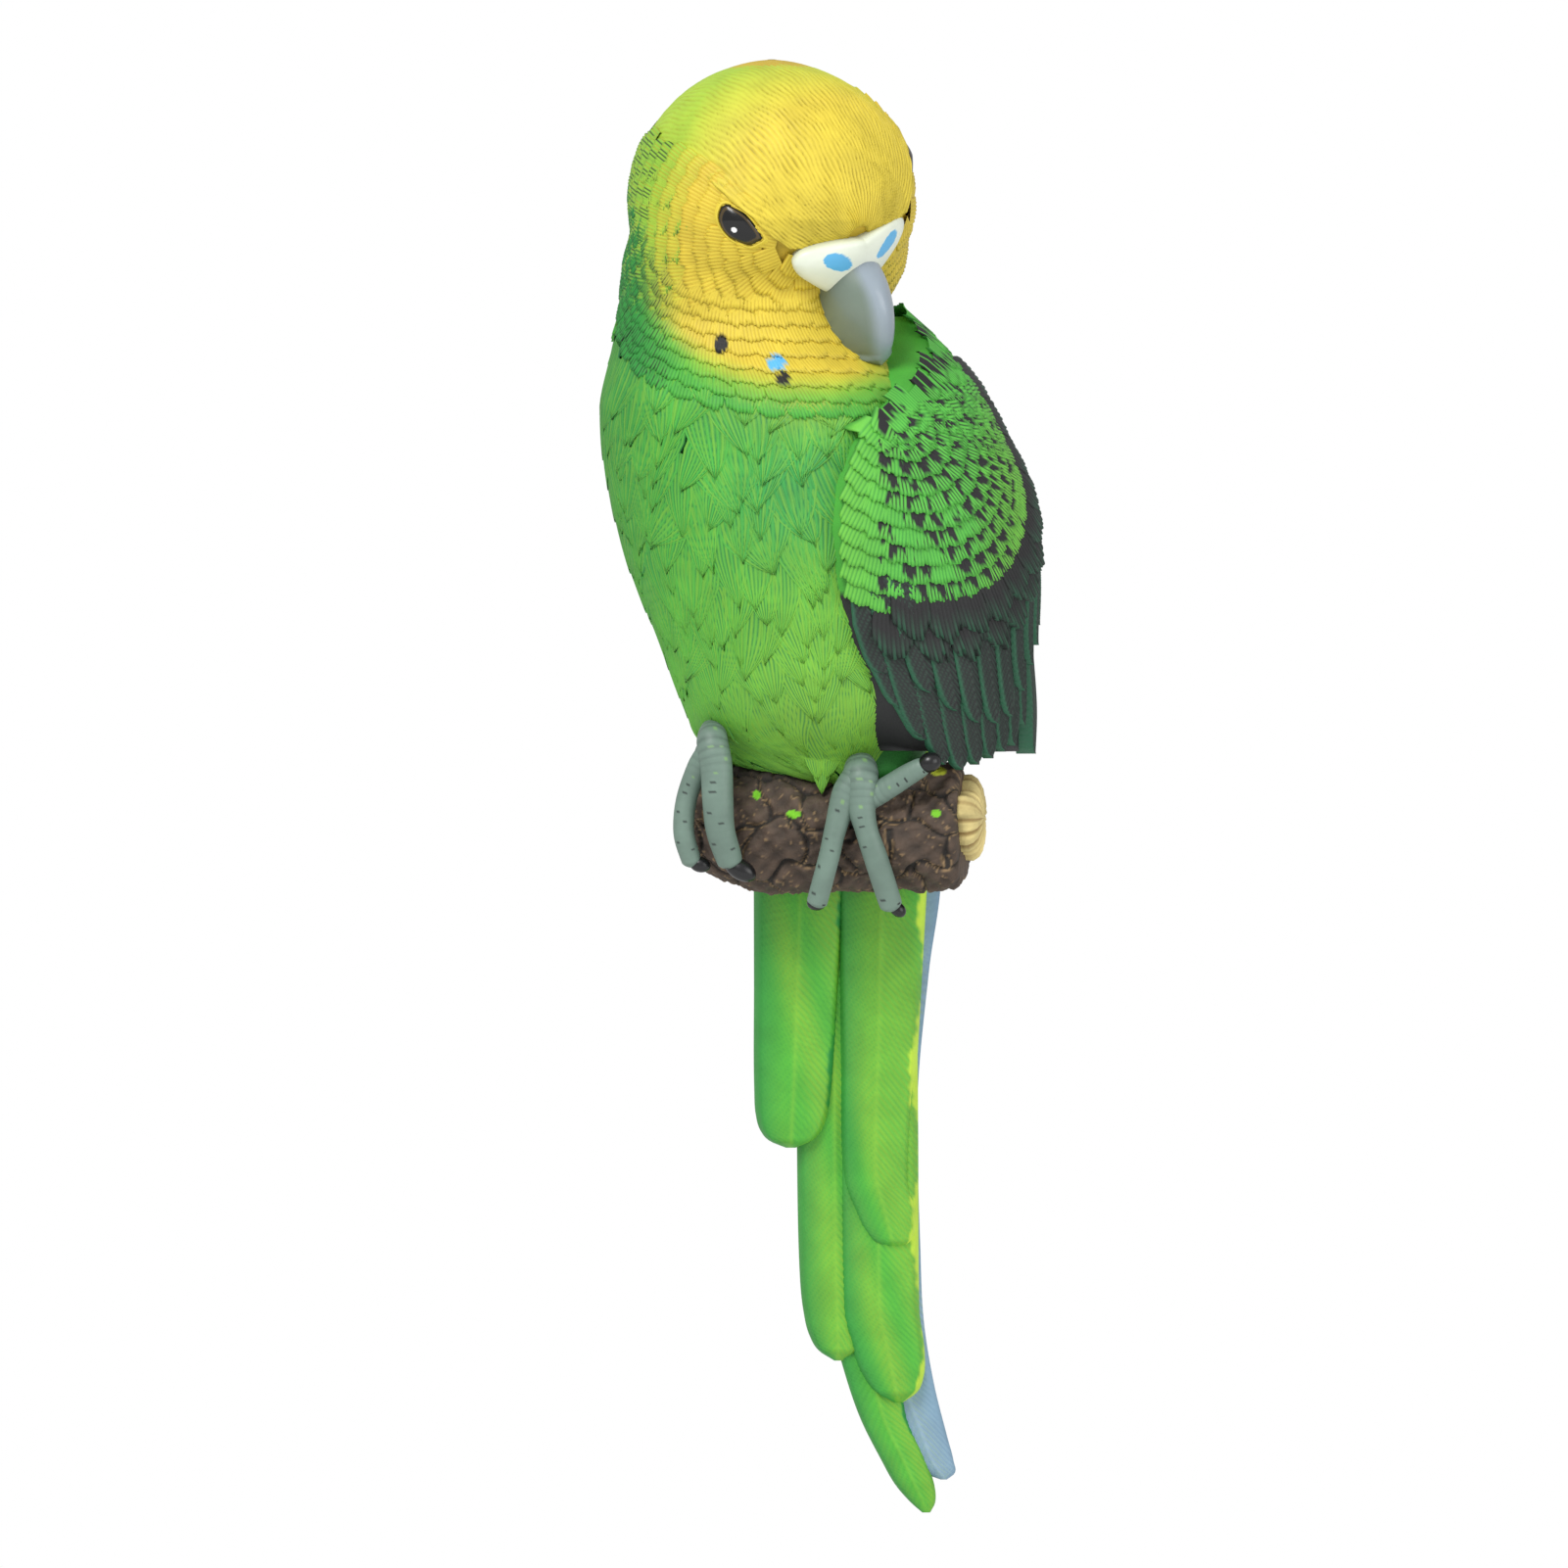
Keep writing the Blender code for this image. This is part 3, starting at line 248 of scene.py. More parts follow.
def on_torso(angle, z, rise):
    """Points over head, cheeks and body together, straight out from the body's axis."""
    x_mid, x_half, y_mid, y_half = body_section(z)
    axis = np.stack((x_mid, y_mid, z + 0.0 * angle), axis=-1)
    away = round_way(angle)
    return axis + away * (skin_reach(axis, away, 0.05, 60.0) + rise)[..., None]


def new_store():
    """Empty collection of mesh grids that become one piece."""
    return {"points": [], "faces": [], "paint": [], "count": 0}


def add_grid(store, points, paint, closed=False):
    """Add a grid of points with its paint; closed joins the last column to the first."""
    rows, columns = points.shape[:2]
    index = np.arange(rows * columns).reshape(rows, columns) + store["count"]
    right = np.roll(index, -1, axis=1) if closed else index[:, 1:]
    left = index if closed else index[:, :-1]
    faces = np.stack((left[:-1], left[1:], right[1:], right[:-1]), axis=-1).reshape(-1, 4)
    store["points"].append(points.reshape(-1, 3))
    store["paint"].append(np.broadcast_to(paint, points.shape).reshape(-1, 3))
    store["faces"].append(faces)
    store["count"] += rows * columns


def drawn_in(ring):
    """Ring of points drawn together in its middle."""
    return np.repeat(ring.mean(axis=1, keepdims=True), ring.shape[1], axis=1)


def make_piece(name, store, material):
    """Mesh object from a store, in metres, that stands for the casting."""
    points = np.concatenate(store["points"]) * MM
    faces = np.concatenate(store["faces"]).astype(np.int32)
    paint = held(np.concatenate(store["paint"]))
    mesh = bpy.data.meshes.new(name)
    mesh.vertices.add(len(points))
    mesh.vertices.foreach_set("co", points.astype(np.float32).ravel())
    mesh.loops.add(faces.size)
    mesh.loops.foreach_set("vertex_index", faces.ravel())
    mesh.polygons.add(len(faces))
    mesh.polygons.foreach_set("loop_start", np.arange(0, faces.size, 4, dtype=np.int32))
    mesh.update(calc_edges=True)
    mesh.validate()
    layer = mesh.color_attributes.new("paint", "FLOAT_COLOR", "POINT")
    layer.data.foreach_set("color", np.hstack((paint, np.ones((len(paint), 1)))).astype(np.float32).ravel())
    mesh.polygons.foreach_set("use_smooth", np.ones(len(mesh.polygons), dtype=bool))
    mesh.materials.append(material)
    item = bpy.data.objects.new(name, mesh)
    scene.collection.objects.link(item)
    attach(item, "root")
    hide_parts("parrot_figurine")
    return item


def linear(red, green, blue):
    """Colour as a painter reads it, 0 to 255, in the renderer's linear numbers."""
    values = np.array([red, green, blue], dtype=float) / 255.0
    return np.where(values <= 0.04045, values / 12.92, ((values + 0.055) / 1.055) ** 2.4)


def grain_material(name, roughness, bump, scale, uneven=0.06, coat=0.0):
    """Painted finish: its colour is the paint on the mesh, broken by fine unevenness and grain."""
    material = bpy.data.materials.new(name)
    material.use_nodes = True
    tree = material.node_tree
    shader = tree.nodes["Principled BSDF"]
    shader.inputs["Coat Weight"].default_value = coat
    shader.inputs["Coat Roughness"].default_value = 0.12

    def add(kind, **settings):
        """Node of a kind with its inputs set."""
        node = tree.nodes.new(kind)
        for socket, value in settings.items():
            node.inputs[socket.replace("_", " ")].default_value = value
        return node

    def join(first, output, second, socket):
        """Link from one node's output to another's input."""
        tree.links.new(first.outputs[output], second.inputs[socket])

    paint = add("ShaderNodeAttribute")
    paint.attribute_name = "paint"
    place = add("ShaderNodeTexCoord")
    blotch = add("ShaderNodeTexNoise", Scale=160.0, Detail=5.0)
    shade = add("ShaderNodeMapRange", From_Min=0.3, From_Max=0.7, To_Min=1.0 - uneven, To_Max=1.0 + uneven)
    mix = add("ShaderNodeVectorMath")
    mix.operation = "SCALE"
    grain = add("ShaderNodeTexNoise", Scale=scale, Detail=3.0)
    rough = add("ShaderNodeMapRange", To_Min=roughness - 0.1, To_Max=roughness + 0.1)
    relief = add("ShaderNodeBump", Strength=0.5, Distance=bump)
    join(place, "Object", blotch, "Vector")
    join(blotch, "Fac", shade, "Value")
    join(paint, "Color", mix, 0)
    join(shade, "Result", mix, "Scale")
    join(mix, "Vector", shader, "Base Color")
    join(place, "Object", grain, "Vector")
    join(grain, "Fac", rough, "Value")
    join(rough, "Result", shader, "Roughness")
    join(grain, "Fac", relief, "Height")
    join(relief, "Normal", shader, "Normal")
    return material


plumage_paint = grain_material("plumage_paint", 0.62, 0.00012, 2600.0, 0.1)
DEEP_GREEN = linear(28, 112, 50)
core = new_store()
heights = np.concatenate((np.linspace(-72.9, HEAD_BASE, 70),
                          HEAD_CENTRE[2] + HEAD_RADIUS * np.sin(np.radians(np.linspace(-9.0, 89.5, 34)))))
angles = np.linspace(0.0, 360.0, 121)[:-1]
grid_angle, grid_z = np.meshgrid(angles, heights)
x_mid, x_half, y_mid, y_half = body_section(grid_z)
axis = np.stack((x_mid, y_mid, grid_z), axis=-1)
away = round_way(grid_angle)
skin = axis + away * (skin_reach(axis, away, 0.05, 60.0) - 1.2)[..., None]
face_share = held((np.sum((skin - HEAD_CENTRE) * FORWARD, axis=-1) + 6.0) / 10.0)
face_share = face_share * held((skin[..., 2] - 8.0) / 6.0)
face_share = np.maximum(face_share, held((skin[..., 2] - 40.0) / 8.0))
under_yellow = linear(196, 168, 44)
under_green = linear(44, 138, 50)
add_grid(core, skin, under_green + (under_yellow - under_green) * face_share[..., None], True)
make_piece("core", core, plumage_paint)

# Feathers. Every small feather is carved as a low scale with comb grooves running to its tip, its
# edges sunk into what it lies on. One routine carves them all, from a leaf to a short fan.
rng = np.random.default_rng(7)


def mixed(first, second, share):
    """Blend of two colours by a share from 0 to 1."""
    share = held(np.asarray(share, dtype=float))[..., None]
    return first * (1 - share) + second * share


def painted(tone, where, colour):
    """Tone with another colour laid on where told."""
    return np.where(where[..., None], colour, tone)


def add_sunk(store, place, a, b, rise, colour, sink):
    """Add a feather with its side and tip edges sunk into what it lies on; colour has their rims too."""
    a = np.pad(a, ((0, 1), (1, 1)), "edge")
    b = np.pad(b, ((0, 1), (1, 1)), "edge")
    rise = np.pad(rise, ((0, 1), (1, 1)), constant_values=-sink)
    add_grid(store, place(a, b, rise), colour)


def carve_feather(store, place, length, width, lift, grooves, shape, brush, rows, depth, bend=0.0):
    """One feather: place(across, along, rise) puts it on its surface, brush paints it."""
    columns = grooves * 3 + 1
    across = np.linspace(-1.0, 1.0, columns)
    along = np.linspace(0.0, 1.0, rows)
    u, v = np.meshgrid(across, along)
    comb = (u + 1.0) * 0.5 * grooves
    ridge = 0.5 - 0.5 * np.cos(2 * math.pi * comb)
    strand = np.clip(comb.astype(int), 0, grooves - 1)
    wander = rng.normal(0.0, 1.0, grooves)[strand]
    if shape == "leaf":
        spread = np.interp(v, [0.0, 0.25, 0.5, 0.75, 0.9, 1.0], [0.55, 0.92, 1.0, 0.74, 0.42, 0.05])
        run = v * (1.0 - 0.04 * np.abs(u) + 0.015 * wander)
    elif shape == "fan":
        spread = np.interp(v, [0.0, 0.5, 1.0], [0.7, 0.95, 1.0])
        run = v * (1.0 - 0.34 * np.abs(u) ** 2.2 + 0.05 * wander)
    else:
        spread = np.ones_like(v)
        run = v * (1.0 - 0.15 * np.abs(u) ** 2.4 - 0.06 * (1 - ridge) + 0.04 * wander)
    a = u * spread * width / 2 + bend * length * v * v
    b = run * length
    rise = lift * (0.08 + 0.92 * v ** 1.1) * (1.0 - 0.25 * u * u) + depth * (ridge - 0.6) * (0.3 + 0.7 * v)
    colour = brush(place(a, b, rise), u, v, ridge, strand)
    colour = np.pad(colour, ((0, 1), (1, 1), (0, 0)), "edge")
    # The rims that sink into what the feather lies on are painted darker, as painted shade at its edges.
    sink, shade = (0.4, 0.9) if shape == "leaf" else (0.9, 0.7)
    for rim in (np.s_[-1], np.s_[:, 0], np.s_[:, -1]):
        colour[rim] *= shade
    add_sunk(store, place, a, b, rise, colour, sink)


def form_place(form, angle, z, heading):
    """Placer for a feather on the body or wing form; heading 0 points down."""
    half = float((smooth(WING, np.array(z)) if form is on_wing else body_section(np.array(z)))[1])
    lean = math.radians(heading)

    def place(a, b, rise):
        shift = b * math.sin(lean) + a * math.cos(lean)
        drop = b * math.cos(lean) - a * math.sin(lean)
        return form(angle + np.degrees(shift / half), z - drop, rise)

    return place


def skin_place(way, heading):
    """Placer for a feather on head and neck; heading is the vector it points along."""
    run = heading - way * np.dot(heading, way)
    run /= np.linalg.norm(run)
    over = np.cross(way, run)
    reach = float(skin_reach(HEAD_CENTRE, way, 20.0, 60.0))

    def place(a, b, rise):
        out = way + (run * b[..., None] + over * a[..., None]) / reach
        out /= np.linalg.norm(out, axis=-1, keepdims=True)
        return HEAD_CENTRE + out * (skin_reach(HEAD_CENTRE, out, 20.0, 60.0) + rise)[..., None]

    return place


def in_oval(points, x, z, wide, high):
    """True where points, seen from the front, fall in an oval."""
    return ((points[..., 0] - x) / (wide / 2)) ** 2 + ((points[..., 2] - z) / (high / 2)) ** 2 < 1.0


# Breast and belly. Broad pointed feathers lie in loose rows from the throat down, mid green with
# darker teal in the grooves, partly paint and partly painted shade, yellower on the belly and where
# they meet the wing, with painted shade at the left edge.
LEAF = linear(84, 184, 56)
TEAL = linear(30, 150, 84)
LIME = linear(142, 202, 56)
OLIVE = linear(120, 150, 30)
YELLOW = linear(222, 200, 64)
YELLOW_DEEP = linear(186, 148, 26)
BLACK = linear(24, 24, 26)


def breast_brush(points, u, v, ridge, strand):
    """Green of the breast by place, yellower on the crests, darker teal in the grooves from paint and painted
    shade, and painted shade at the left edge and at each feather's root.
    """
    x, z = points[..., 0], points[..., 2]
    tone = mixed(LEAF, LIME, held((-z - 14.0) / 45.0) * held((x + 34.0) / 30.0) * 0.85)
    # Painted shade at the left edge, where the body turns away.
    tone = mixed(tone, DEEP_GREEN * 1.15, held((-28.0 - x) / 18.0) * 0.75)
    tone = mixed(tone, TEAL, 0.55 * np.exp(-((x + 6.0) / 14.0) ** 2 - ((z + 16.0) / 13.0) ** 2))
    tone = mixed(tone, YELLOW * 0.85, 0.8 * np.exp(-((x + 2.0) / 12.0) ** 2 - ((z - 8.0) / 8.0) ** 2))
    # Grooves darker teal, partly paint gathered there and partly painted shade.
    tone = mixed(tone, TEAL * 0.6, (1 - ridge) * 0.8)
    tone = mixed(tone, mixed(LIME, OLIVE, 0.4), ridge * (0.25 + 0.3 * np.sin(strand * 2.7 + points[0, 0, 0])))
    # Painted shade at each feather's root, under the row above.
    return tone * (0.86 + 0.18 * v)[..., None]


def wing_edge(z):
    """Angle of the near wing's front edge at a height."""
    return float(np.interp(z, EDGE_HEIGHTS, EDGE_ANGLES))


breast = new_store()
row = 0
z = 9.0
while z > -70.0:
    half = float(body_section(np.array(z))[1])
    size = 9.6 if z > -30.0 else 8.4
    pitch = math.degrees(size * 0.62 / half)
    stop = wing_edge(z - 6.0) + 12.0
    angle = -128.0 + (row % 2) * pitch * 0.5
    while angle < stop:
        turn = angle + rng.normal(0, 1.5)
        heading = 0.34 * (turn + 14.0) + rng.normal(0, 11.0)
        carve_feather(breast, form_place(on_torso, turn, z + 6.0 + rng.normal(0, 1.8), heading),
                      size * 1.9 + rng.normal(0, 1.5), size + rng.normal(0, 1.0), 0.5, 10, "leaf",
                      breast_brush, 11, 0.4, rng.normal(0, 0.22))
        angle += pitch
    z -= 5.2
    row += 1


def tuft_place(across, lean):
    """Placer for the feathers of the tuft that hangs over the branch between the feet."""

    def place(a, b, rise):
        x = across + a + b * lean
        return np.stack((x, -55.4 + 0.2 * b - rise, -62.5 - b), axis=-1)

    return place


for across, lean, length in ((-1.4, 0.12, 9.4), (3.4, -0.2, 9.2), (0.6, 0.0, 12.2)):
    carve_feather(breast, tuft_place(across, lean), length, 4.6, 0.6, 8, "leaf", breast_brush, 11, 0.36)
make_piece("breast_feathers", breast, plumage_paint)

# Crown. One thick pad of fine wavy feather strands flows from the cere over the head. Its side
# edges stand out as the straight brows above the eyes. Yellow, greener over the top and back.
CROWN_EDGE = ([8, 20, 32, 36, 49, 62, 76, 87, 110, 150], [94, 92, 88.5, 82.4, 68.5, 62.4, 56, 52, 52, 62])


def crown_edge(rho):
    """Half angle of the crown round the face at an angle from its middle."""
    return np.interp(rho, CROWN_EDGE[0], CROWN_EDGE[1])


crown = new_store()
rho = np.linspace(5.0, 150.0, 140)[:, None]
share = np.linspace(-1.0, 1.0, 161)[None, :]
phi = np.radians(share * crown_edge(rho))
rho_r = np.radians(rho) + 0.0 * phi
way = (FORWARD * np.cos(rho_r)[..., None] + UP * (np.sin(rho_r) * np.cos(phi))[..., None]
       + SIDE * (np.sin(rho_r) * np.sin(phi))[..., None])
run_mm = rho_r * HEAD_RADIUS
across_mm = phi * HEAD_RADIUS * (0.3 + 0.7 * np.sin(rho_r))
phase = across_mm / 1.16 + 0.42 * np.sin(run_mm * 0.24 + across_mm * 0.21)
phase = phase + 0.22 * np.sin(run_mm * 0.62 - across_mm * 0.37 + 1.0)
phase = phase + 0.07 * np.sin(run_mm * 1.5 + across_mm * 0.9)
strand = np.floor(phase).astype(int)
tags = np.random.default_rng(3).random(400)[strand % 400]
ridge = np.abs(np.sin(math.pi * phase)) ** 0.7
gap = 0.5 + 0.5 * np.sin(run_mm * (0.34 + 0.36 * tags) + tags * 40.0)
calm = 1.0 - 0.6 * held((rho - 66.0) / 25.0)
brow = np.interp(rho, [24, 34, 48, 64, 76, 92], [0.0, 0.9, 1.6, 1.5, 0.6, 0.0]) * np.abs(share) ** 5
rise = -0.45 + brow * 0.9 + 0.62 * (ridge - 0.6) * (0.45 + 0.55 * gap) * calm
skin = HEAD_CENTRE + way * (skin_reach(HEAD_CENTRE, way, 20.0, 60.0) + rise)[..., None]
over_top = held((rho - 62.0) / 40.0) + 0.0 * phi
tone = mixed(YELLOW, LIME, held(over_top + 0.5 * held((-skin[..., 0] - 22.0) / 14.0)) * 0.75)
# Grooves between the strands are darker, partly paint gathered there and partly painted shade.
tone = mixed(tone, linear(150, 132, 22), (1 - ridge) * 0.85 * (0.5 + 0.5 * gap) * (0.4 + 0.6 * calm))
pad = ((1, 1), (1, 1))
low = HEAD_CENTRE + way * (skin_reach(HEAD_CENTRE, way, 20.0, 60.0) - 1.6)[..., None]
closed_skin = np.pad(skin, pad + ((0, 0),), "edge")
closed_low = np.pad(low, pad + ((0, 0),), "edge")
closed_skin[0], closed_skin[-1] = closed_low[0], closed_low[-1]
closed_skin[:, 0], closed_skin[:, -1] = closed_low[:, 0], closed_low[:, -1]
closed_tone = np.pad(tone, pad + ((0, 0),), "edge")
# The sunk edges of the pad are painted darker, as painted shade under its rims and brows.
for edge in (np.s_[0], np.s_[-1], np.s_[:, 0], np.s_[:, -1]):
    closed_tone[edge] = closed_tone[edge] * 0.85
add_grid(crown, closed_skin, closed_tone)
make_piece("crown", crown, plumage_paint)

# Cheeks. Short feathers in bowed rows ring each side of the face, from behind the eye to the
# throat. Yellow, greener row by row towards the neck, with the painted spots of the throat.
EYE_WAY = head_way(-53.0, 12.8)
SPOT_BLUE = linear(88, 176, 226)
NECK_GREEN = linear(46, 150, 56)
SPOTS = ((-19.4, 14.0, 2.8, 3.8, BLACK), (-8.4, 10.2, 3.8, 3.2, SPOT_BLUE), (-7.2, 7.0, 2.9, 3.1, BLACK))


def mirror(points):
    """Points or directions on the other side of the head."""
    return points - 2.0 * SIDE * np.sum(points * SIDE, axis=-1, keepdims=True)


def face_angles(way):
    """Angle from the middle of the face and angle round it from the top, in degrees."""
    ahead, aside, high = (np.sum(way * line, axis=-1) for line in (FORWARD, SIDE, UP))
    return np.degrees(np.arccos(np.clip(ahead, -1, 1))), np.degrees(np.arctan2(aside, high))


def spotted(tone, points, where=True):
    """Tone with the spots of the throat painted on it."""
    for spot_x, spot_z, wide, high, shade in SPOTS:
        tone = painted(tone, in_oval(points, spot_x, spot_z, wide, high) & where, shade)
    return tone


def cheek_brush_for(ring):
    """Brush of one ring of the cheeks."""

    def brush(points, u, v, ridge, strand):
        x, z = points[..., 0], points[..., 2]
        greener = held((ring - 7.0) / 3.5) * np.clip((44.0 - z) / 24.0, 0.2, 1) + held((10.0 - z) / 6.0) * 0.4
        tone = mixed(YELLOW, LIME, held((ring - 5.0) / 3.5) + 0.0 * x)
        tone = mixed(tone, NECK_GREEN, greener)
        # Grooves are darker, partly paint gathered there and partly painted shade.
        tone = mixed(tone, mixed(YELLOW_DEEP, DEEP_GREEN, greener), (1 - ridge) * 0.6)
        if ring > 8:
            dash = (ridge < 0.45) & (np.sin(strand * 4.1 + ring) > -0.2) & (v > 0.35)
            tone = painted(tone, dash, BLACK * 1.3)
        other = HEAD_CENTRE + mirror(points - HEAD_CENTRE)
        tone = spotted(spotted(tone, points), other, other[..., 1] < -58.0)
        # Each feather is darker at its root, as painted shade under the row above.
        return tone * (0.9 + 0.14 * v)[..., None]

    return brush


CHEEK_RING = 6.4
CHEEK_FEATHER = 4.3
EYE_CLEAR = math.cos(math.radians(7.4))
cheeks = new_store()
for sign in (-1, 1):
    pole = head_way(24.0 * sign, 2.0)
    east = np.cross(pole, UP)
    east /= np.linalg.norm(east)
    north = np.cross(east, pole)
    for ring in range(-1, 15):
        reach = math.radians(14.0 + CHEEK_RING * ring)
        brush = cheek_brush_for(ring)
        count = max(6, int(2 * math.pi * math.sin(reach) * 31.0 / CHEEK_FEATHER))
        for k in range(count):
            turn = 2 * math.pi * (k + 0.5 * (ring % 2)) / count
            away = north * math.cos(turn) + east * math.sin(turn)
            way = pole * math.cos(reach) + away * math.sin(reach)
            rho_here, phi_here = face_angles(way)
            aside = math.degrees(math.atan2(np.dot(way, SIDE), np.dot(way, FORWARD)))
            high = math.degrees(math.asin(np.dot(way, UP)))
            if aside * sign < 0.0 and rho_here < 150.0:
                continue
            under_brow = 5.0 if 34.0 < rho_here < 78.0 else 1.0
            if rho_here < 150.0 and abs(phi_here) < crown_edge(rho_here) - under_brow:
                continue
            tip = pole * math.cos(reach + 0.16) + away * math.sin(reach + 0.16)
            eye = EYE_WAY if sign < 0 else mirror(EYE_WAY)
            if max(np.dot(way, eye), np.dot(tip, eye)) > EYE_CLEAR:
                continue
            if abs(aside) < 15.0 and -46.0 < high < 0.0 or abs(aside) < 18.5 and -8.0 < high < 6.0:
                continue
            out = float(skin_reach(HEAD_CENTRE, tip / np.linalg.norm(tip), 20.0, 60.0))
            if out > 36.5 or (HEAD_CENTRE + tip * out)[2] < 11.0:
                continue
            forward_run = pole * -math.sin(reach) + away * math.cos(reach)
            carve_feather(cheeks, skin_place(way, forward_run), 5.0, CHEEK_FEATHER * 1.22, 0.7, 7, "scallop",
                          brush, 6, 0.26)


def throat_brush(points, u, v, ridge, strand):
    """Yellow under the beak and cheeks, green to the sides and below, with the throat's spots."""
    x, z = points[..., 0], points[..., 2]
    low = held((9.0 - z + 0.02 * (x + 6.0) ** 2 * (x < -6.0)) / 9.0)
    tone = mixed(YELLOW, LIME, low * 1.6)
    tone = mixed(tone, LEAF * 0.9, low * 1.5 - 0.5 + held((x - 2.0) / 10.0))
    tone = mixed(tone, NECK_GREEN, (-27.0 - x) / 9.0)
    # Grooves are darker, partly paint gathered there and partly painted shade.
    groove_paint_and_shade = mixed(linear(170, 140, 24), DEEP_GREEN, low + held((-24.0 - x) / 9.0))
    tone = mixed(tone, groove_paint_and_shade, (1 - ridge) * 0.6)
    dash = (x < -30.0) & (ridge < 0.5) & (np.sin(strand * 4.1 + z) > -0.1) & (v > 0.4)
    tone = painted(tone, dash, BLACK * 1.3)
    # Painted shade darkens each feather towards its root, under the row above.
    return spotted(tone, points) * (0.9 + 0.14 * v)[..., None]


for row in range(8):
    low_z = 26.0 - 3.1 * row
    turn = -104.0 + 4.0 * (row % 2)
    while turn < 70.0:
        bow = min(0.0, turn - 5.0)
        z = low_z + 0.0033 * bow * bow
        heading = math.degrees(math.atan(0.0135 * bow)) if bow < 0.0 else 0.25 * (turn - 5.0)
        carve_feather(cheeks, form_place(on_torso, turn, z, heading), 5.4, 5.4, 0.7, 8, "scallop",
                      throat_brush,
                      6, 0.26)
        turn += 8.8
make_piece("cheek_feathers", cheeks, plumage_paint)

# Eyes. Glossy black almonds under the brows, each with a thin brown ring near its edge and one
# small white glint of paint. The upper lid is nearly straight and slopes down to the front.
EYE_OUTLINE = ((-19.9, 41.2), (-19.3, 42.9), (-18.2, 43.4), (-16.4, 42.6), (-14.4, 41.2), (-12.6, 39.0),
               (-11.2, 36.8), (-12.2, 35.9), (-13.8, 35.3), (-15.6, 35.8), (-17.4, 36.7), (-18.9, 38.2),
               (-19.7, 39.8))


def sight_point(x, y, z):
    """Point at depth y on the line of sight that passes x, z in the picture's plane."""
    reach = (y - LENS_Y) / (PICTURE_Y - LENS_Y)
    return np.stack((AIM_X + (x - AIM_X) * reach, y, AIM_Z + (z - AIM_Z) * reach), axis=-1)


def front_skin(x, z):
    """Points on the front of the head where the camera sees x and z."""
    near = np.full(np.shape(x), -95.0)
    far = np.full(np.shape(x), HEAD_CENTRE[1])
    for step in range(24):
        middle = 0.5 * (near + far)
        inside = depth_in(sight_point(x, middle, z)) > 0.0
        far = np.where(inside, middle, far)
        near = np.where(inside, near, middle)
    return sight_point(x, far, z)


def round_outline(outline, count):
    """Evenly spaced points on a smooth closed curve through the outline's corners."""
    corners = np.array(outline)
    total = len(corners)
    at = np.linspace(0, total, count, endpoint=False)
    k = at.astype(int)
    t = (at - k)[:, None]
    p0, p1, p2, p3 = (corners[(k + shift) % total] for shift in (-1, 0, 1, 2))
    return 0.5 * (2 * p1 + (p2 - p0) * t + (2 * p0 - 5 * p1 + 4 * p2 - p3) * t ** 2
                  + (3 * p1 - p0 - 3 * p2 + p3) * t ** 3)


def face_patch(store, outline, dome, rings, count, brush, other_side):
    """Domed patch on the face inside an outline drawn from the front; dome(r) is its rise."""
    edge = round_outline(outline, count)
    middle = edge.mean(axis=0)
    r = np.linspace(0.0, 1.0, rings)[:, None]
    flat = middle + (edge - middle)[None, :, :] * r[..., None]
    way = front_skin(flat[..., 0], flat[..., 1]) - HEAD_CENTRE
    reach = np.linalg.norm(way, axis=-1, keepdims=True)
    points = HEAD_CENTRE + way / reach * (reach + dome(r + 0.0 * flat[..., 0])[..., None])
    tone = brush(points, r + 0.0 * flat[..., 0])
    rim = HEAD_CENTRE + way[-1:] / reach[-1:] * (reach[-1:] - 1.2)
    points = np.concatenate((points, rim))
    # The sunk rim is painted darker, as painted shade where the patch meets the face.
    tone = np.concatenate((tone, tone[-1:] * 0.6))
    if other_side:
        points = (HEAD_CENTRE + mirror(points - HEAD_CENTRE))[:, ::-1]
        tone = tone[:, ::-1]
    add_grid(store, points, tone, True)


glint_place = front_skin(np.array(-16.6), np.array(38.6))
glint_place = HEAD_CENTRE + (glint_place - HEAD_CENTRE) * (1.0 + 1.2 / HEAD_RADIUS)


def eye_brush(points, r):
    """Black with a brown ring and a white glint."""
    tone = np.where(((r > 0.78) & (r < 0.87))[..., None], linear(74, 60, 34), linear(14, 14, 15))
    glint = np.linalg.norm(points - glint_place, axis=-1) < 0.62
    return painted(tone, glint, linear(250, 250, 250))


def lid_brush(points, r):
    """Yellow of the thin lid, dark at its inner edge beside the eye as painted shade."""
    return mixed(YELLOW_DEEP * 0.7, YELLOW, (r - 0.74) / 0.05)


LID_SHARES = (0.0, 0.7, 0.76, 0.81, 0.88, 1.0)
LID_RISES = (-1.0, -1.0, 0.5, 0.7, 0.35, -0.2)
eye_gloss = grain_material("eye_gloss", 0.2, 0.00001, 900.0, 0.02)
eyes = new_store()
lids = new_store()
for other_side in (False, True):
    face_patch(eyes, EYE_OUTLINE, lambda r: 0.3 + 1.1 * np.sqrt(held(1.0 - r * r)), 24, 120, eye_brush,
               other_side)
    wide = np.array(EYE_OUTLINE)
    wide = wide.mean(axis=0) + (wide - wide.mean(axis=0)) * 1.34
    face_patch(lids, wide, lambda r: np.interp(r, LID_SHARES, LID_RISES), 40, 120, lid_brush, other_side)
make_piece("eyes", eyes, eye_gloss)
make_piece("eyelids", lids, plumage_paint)

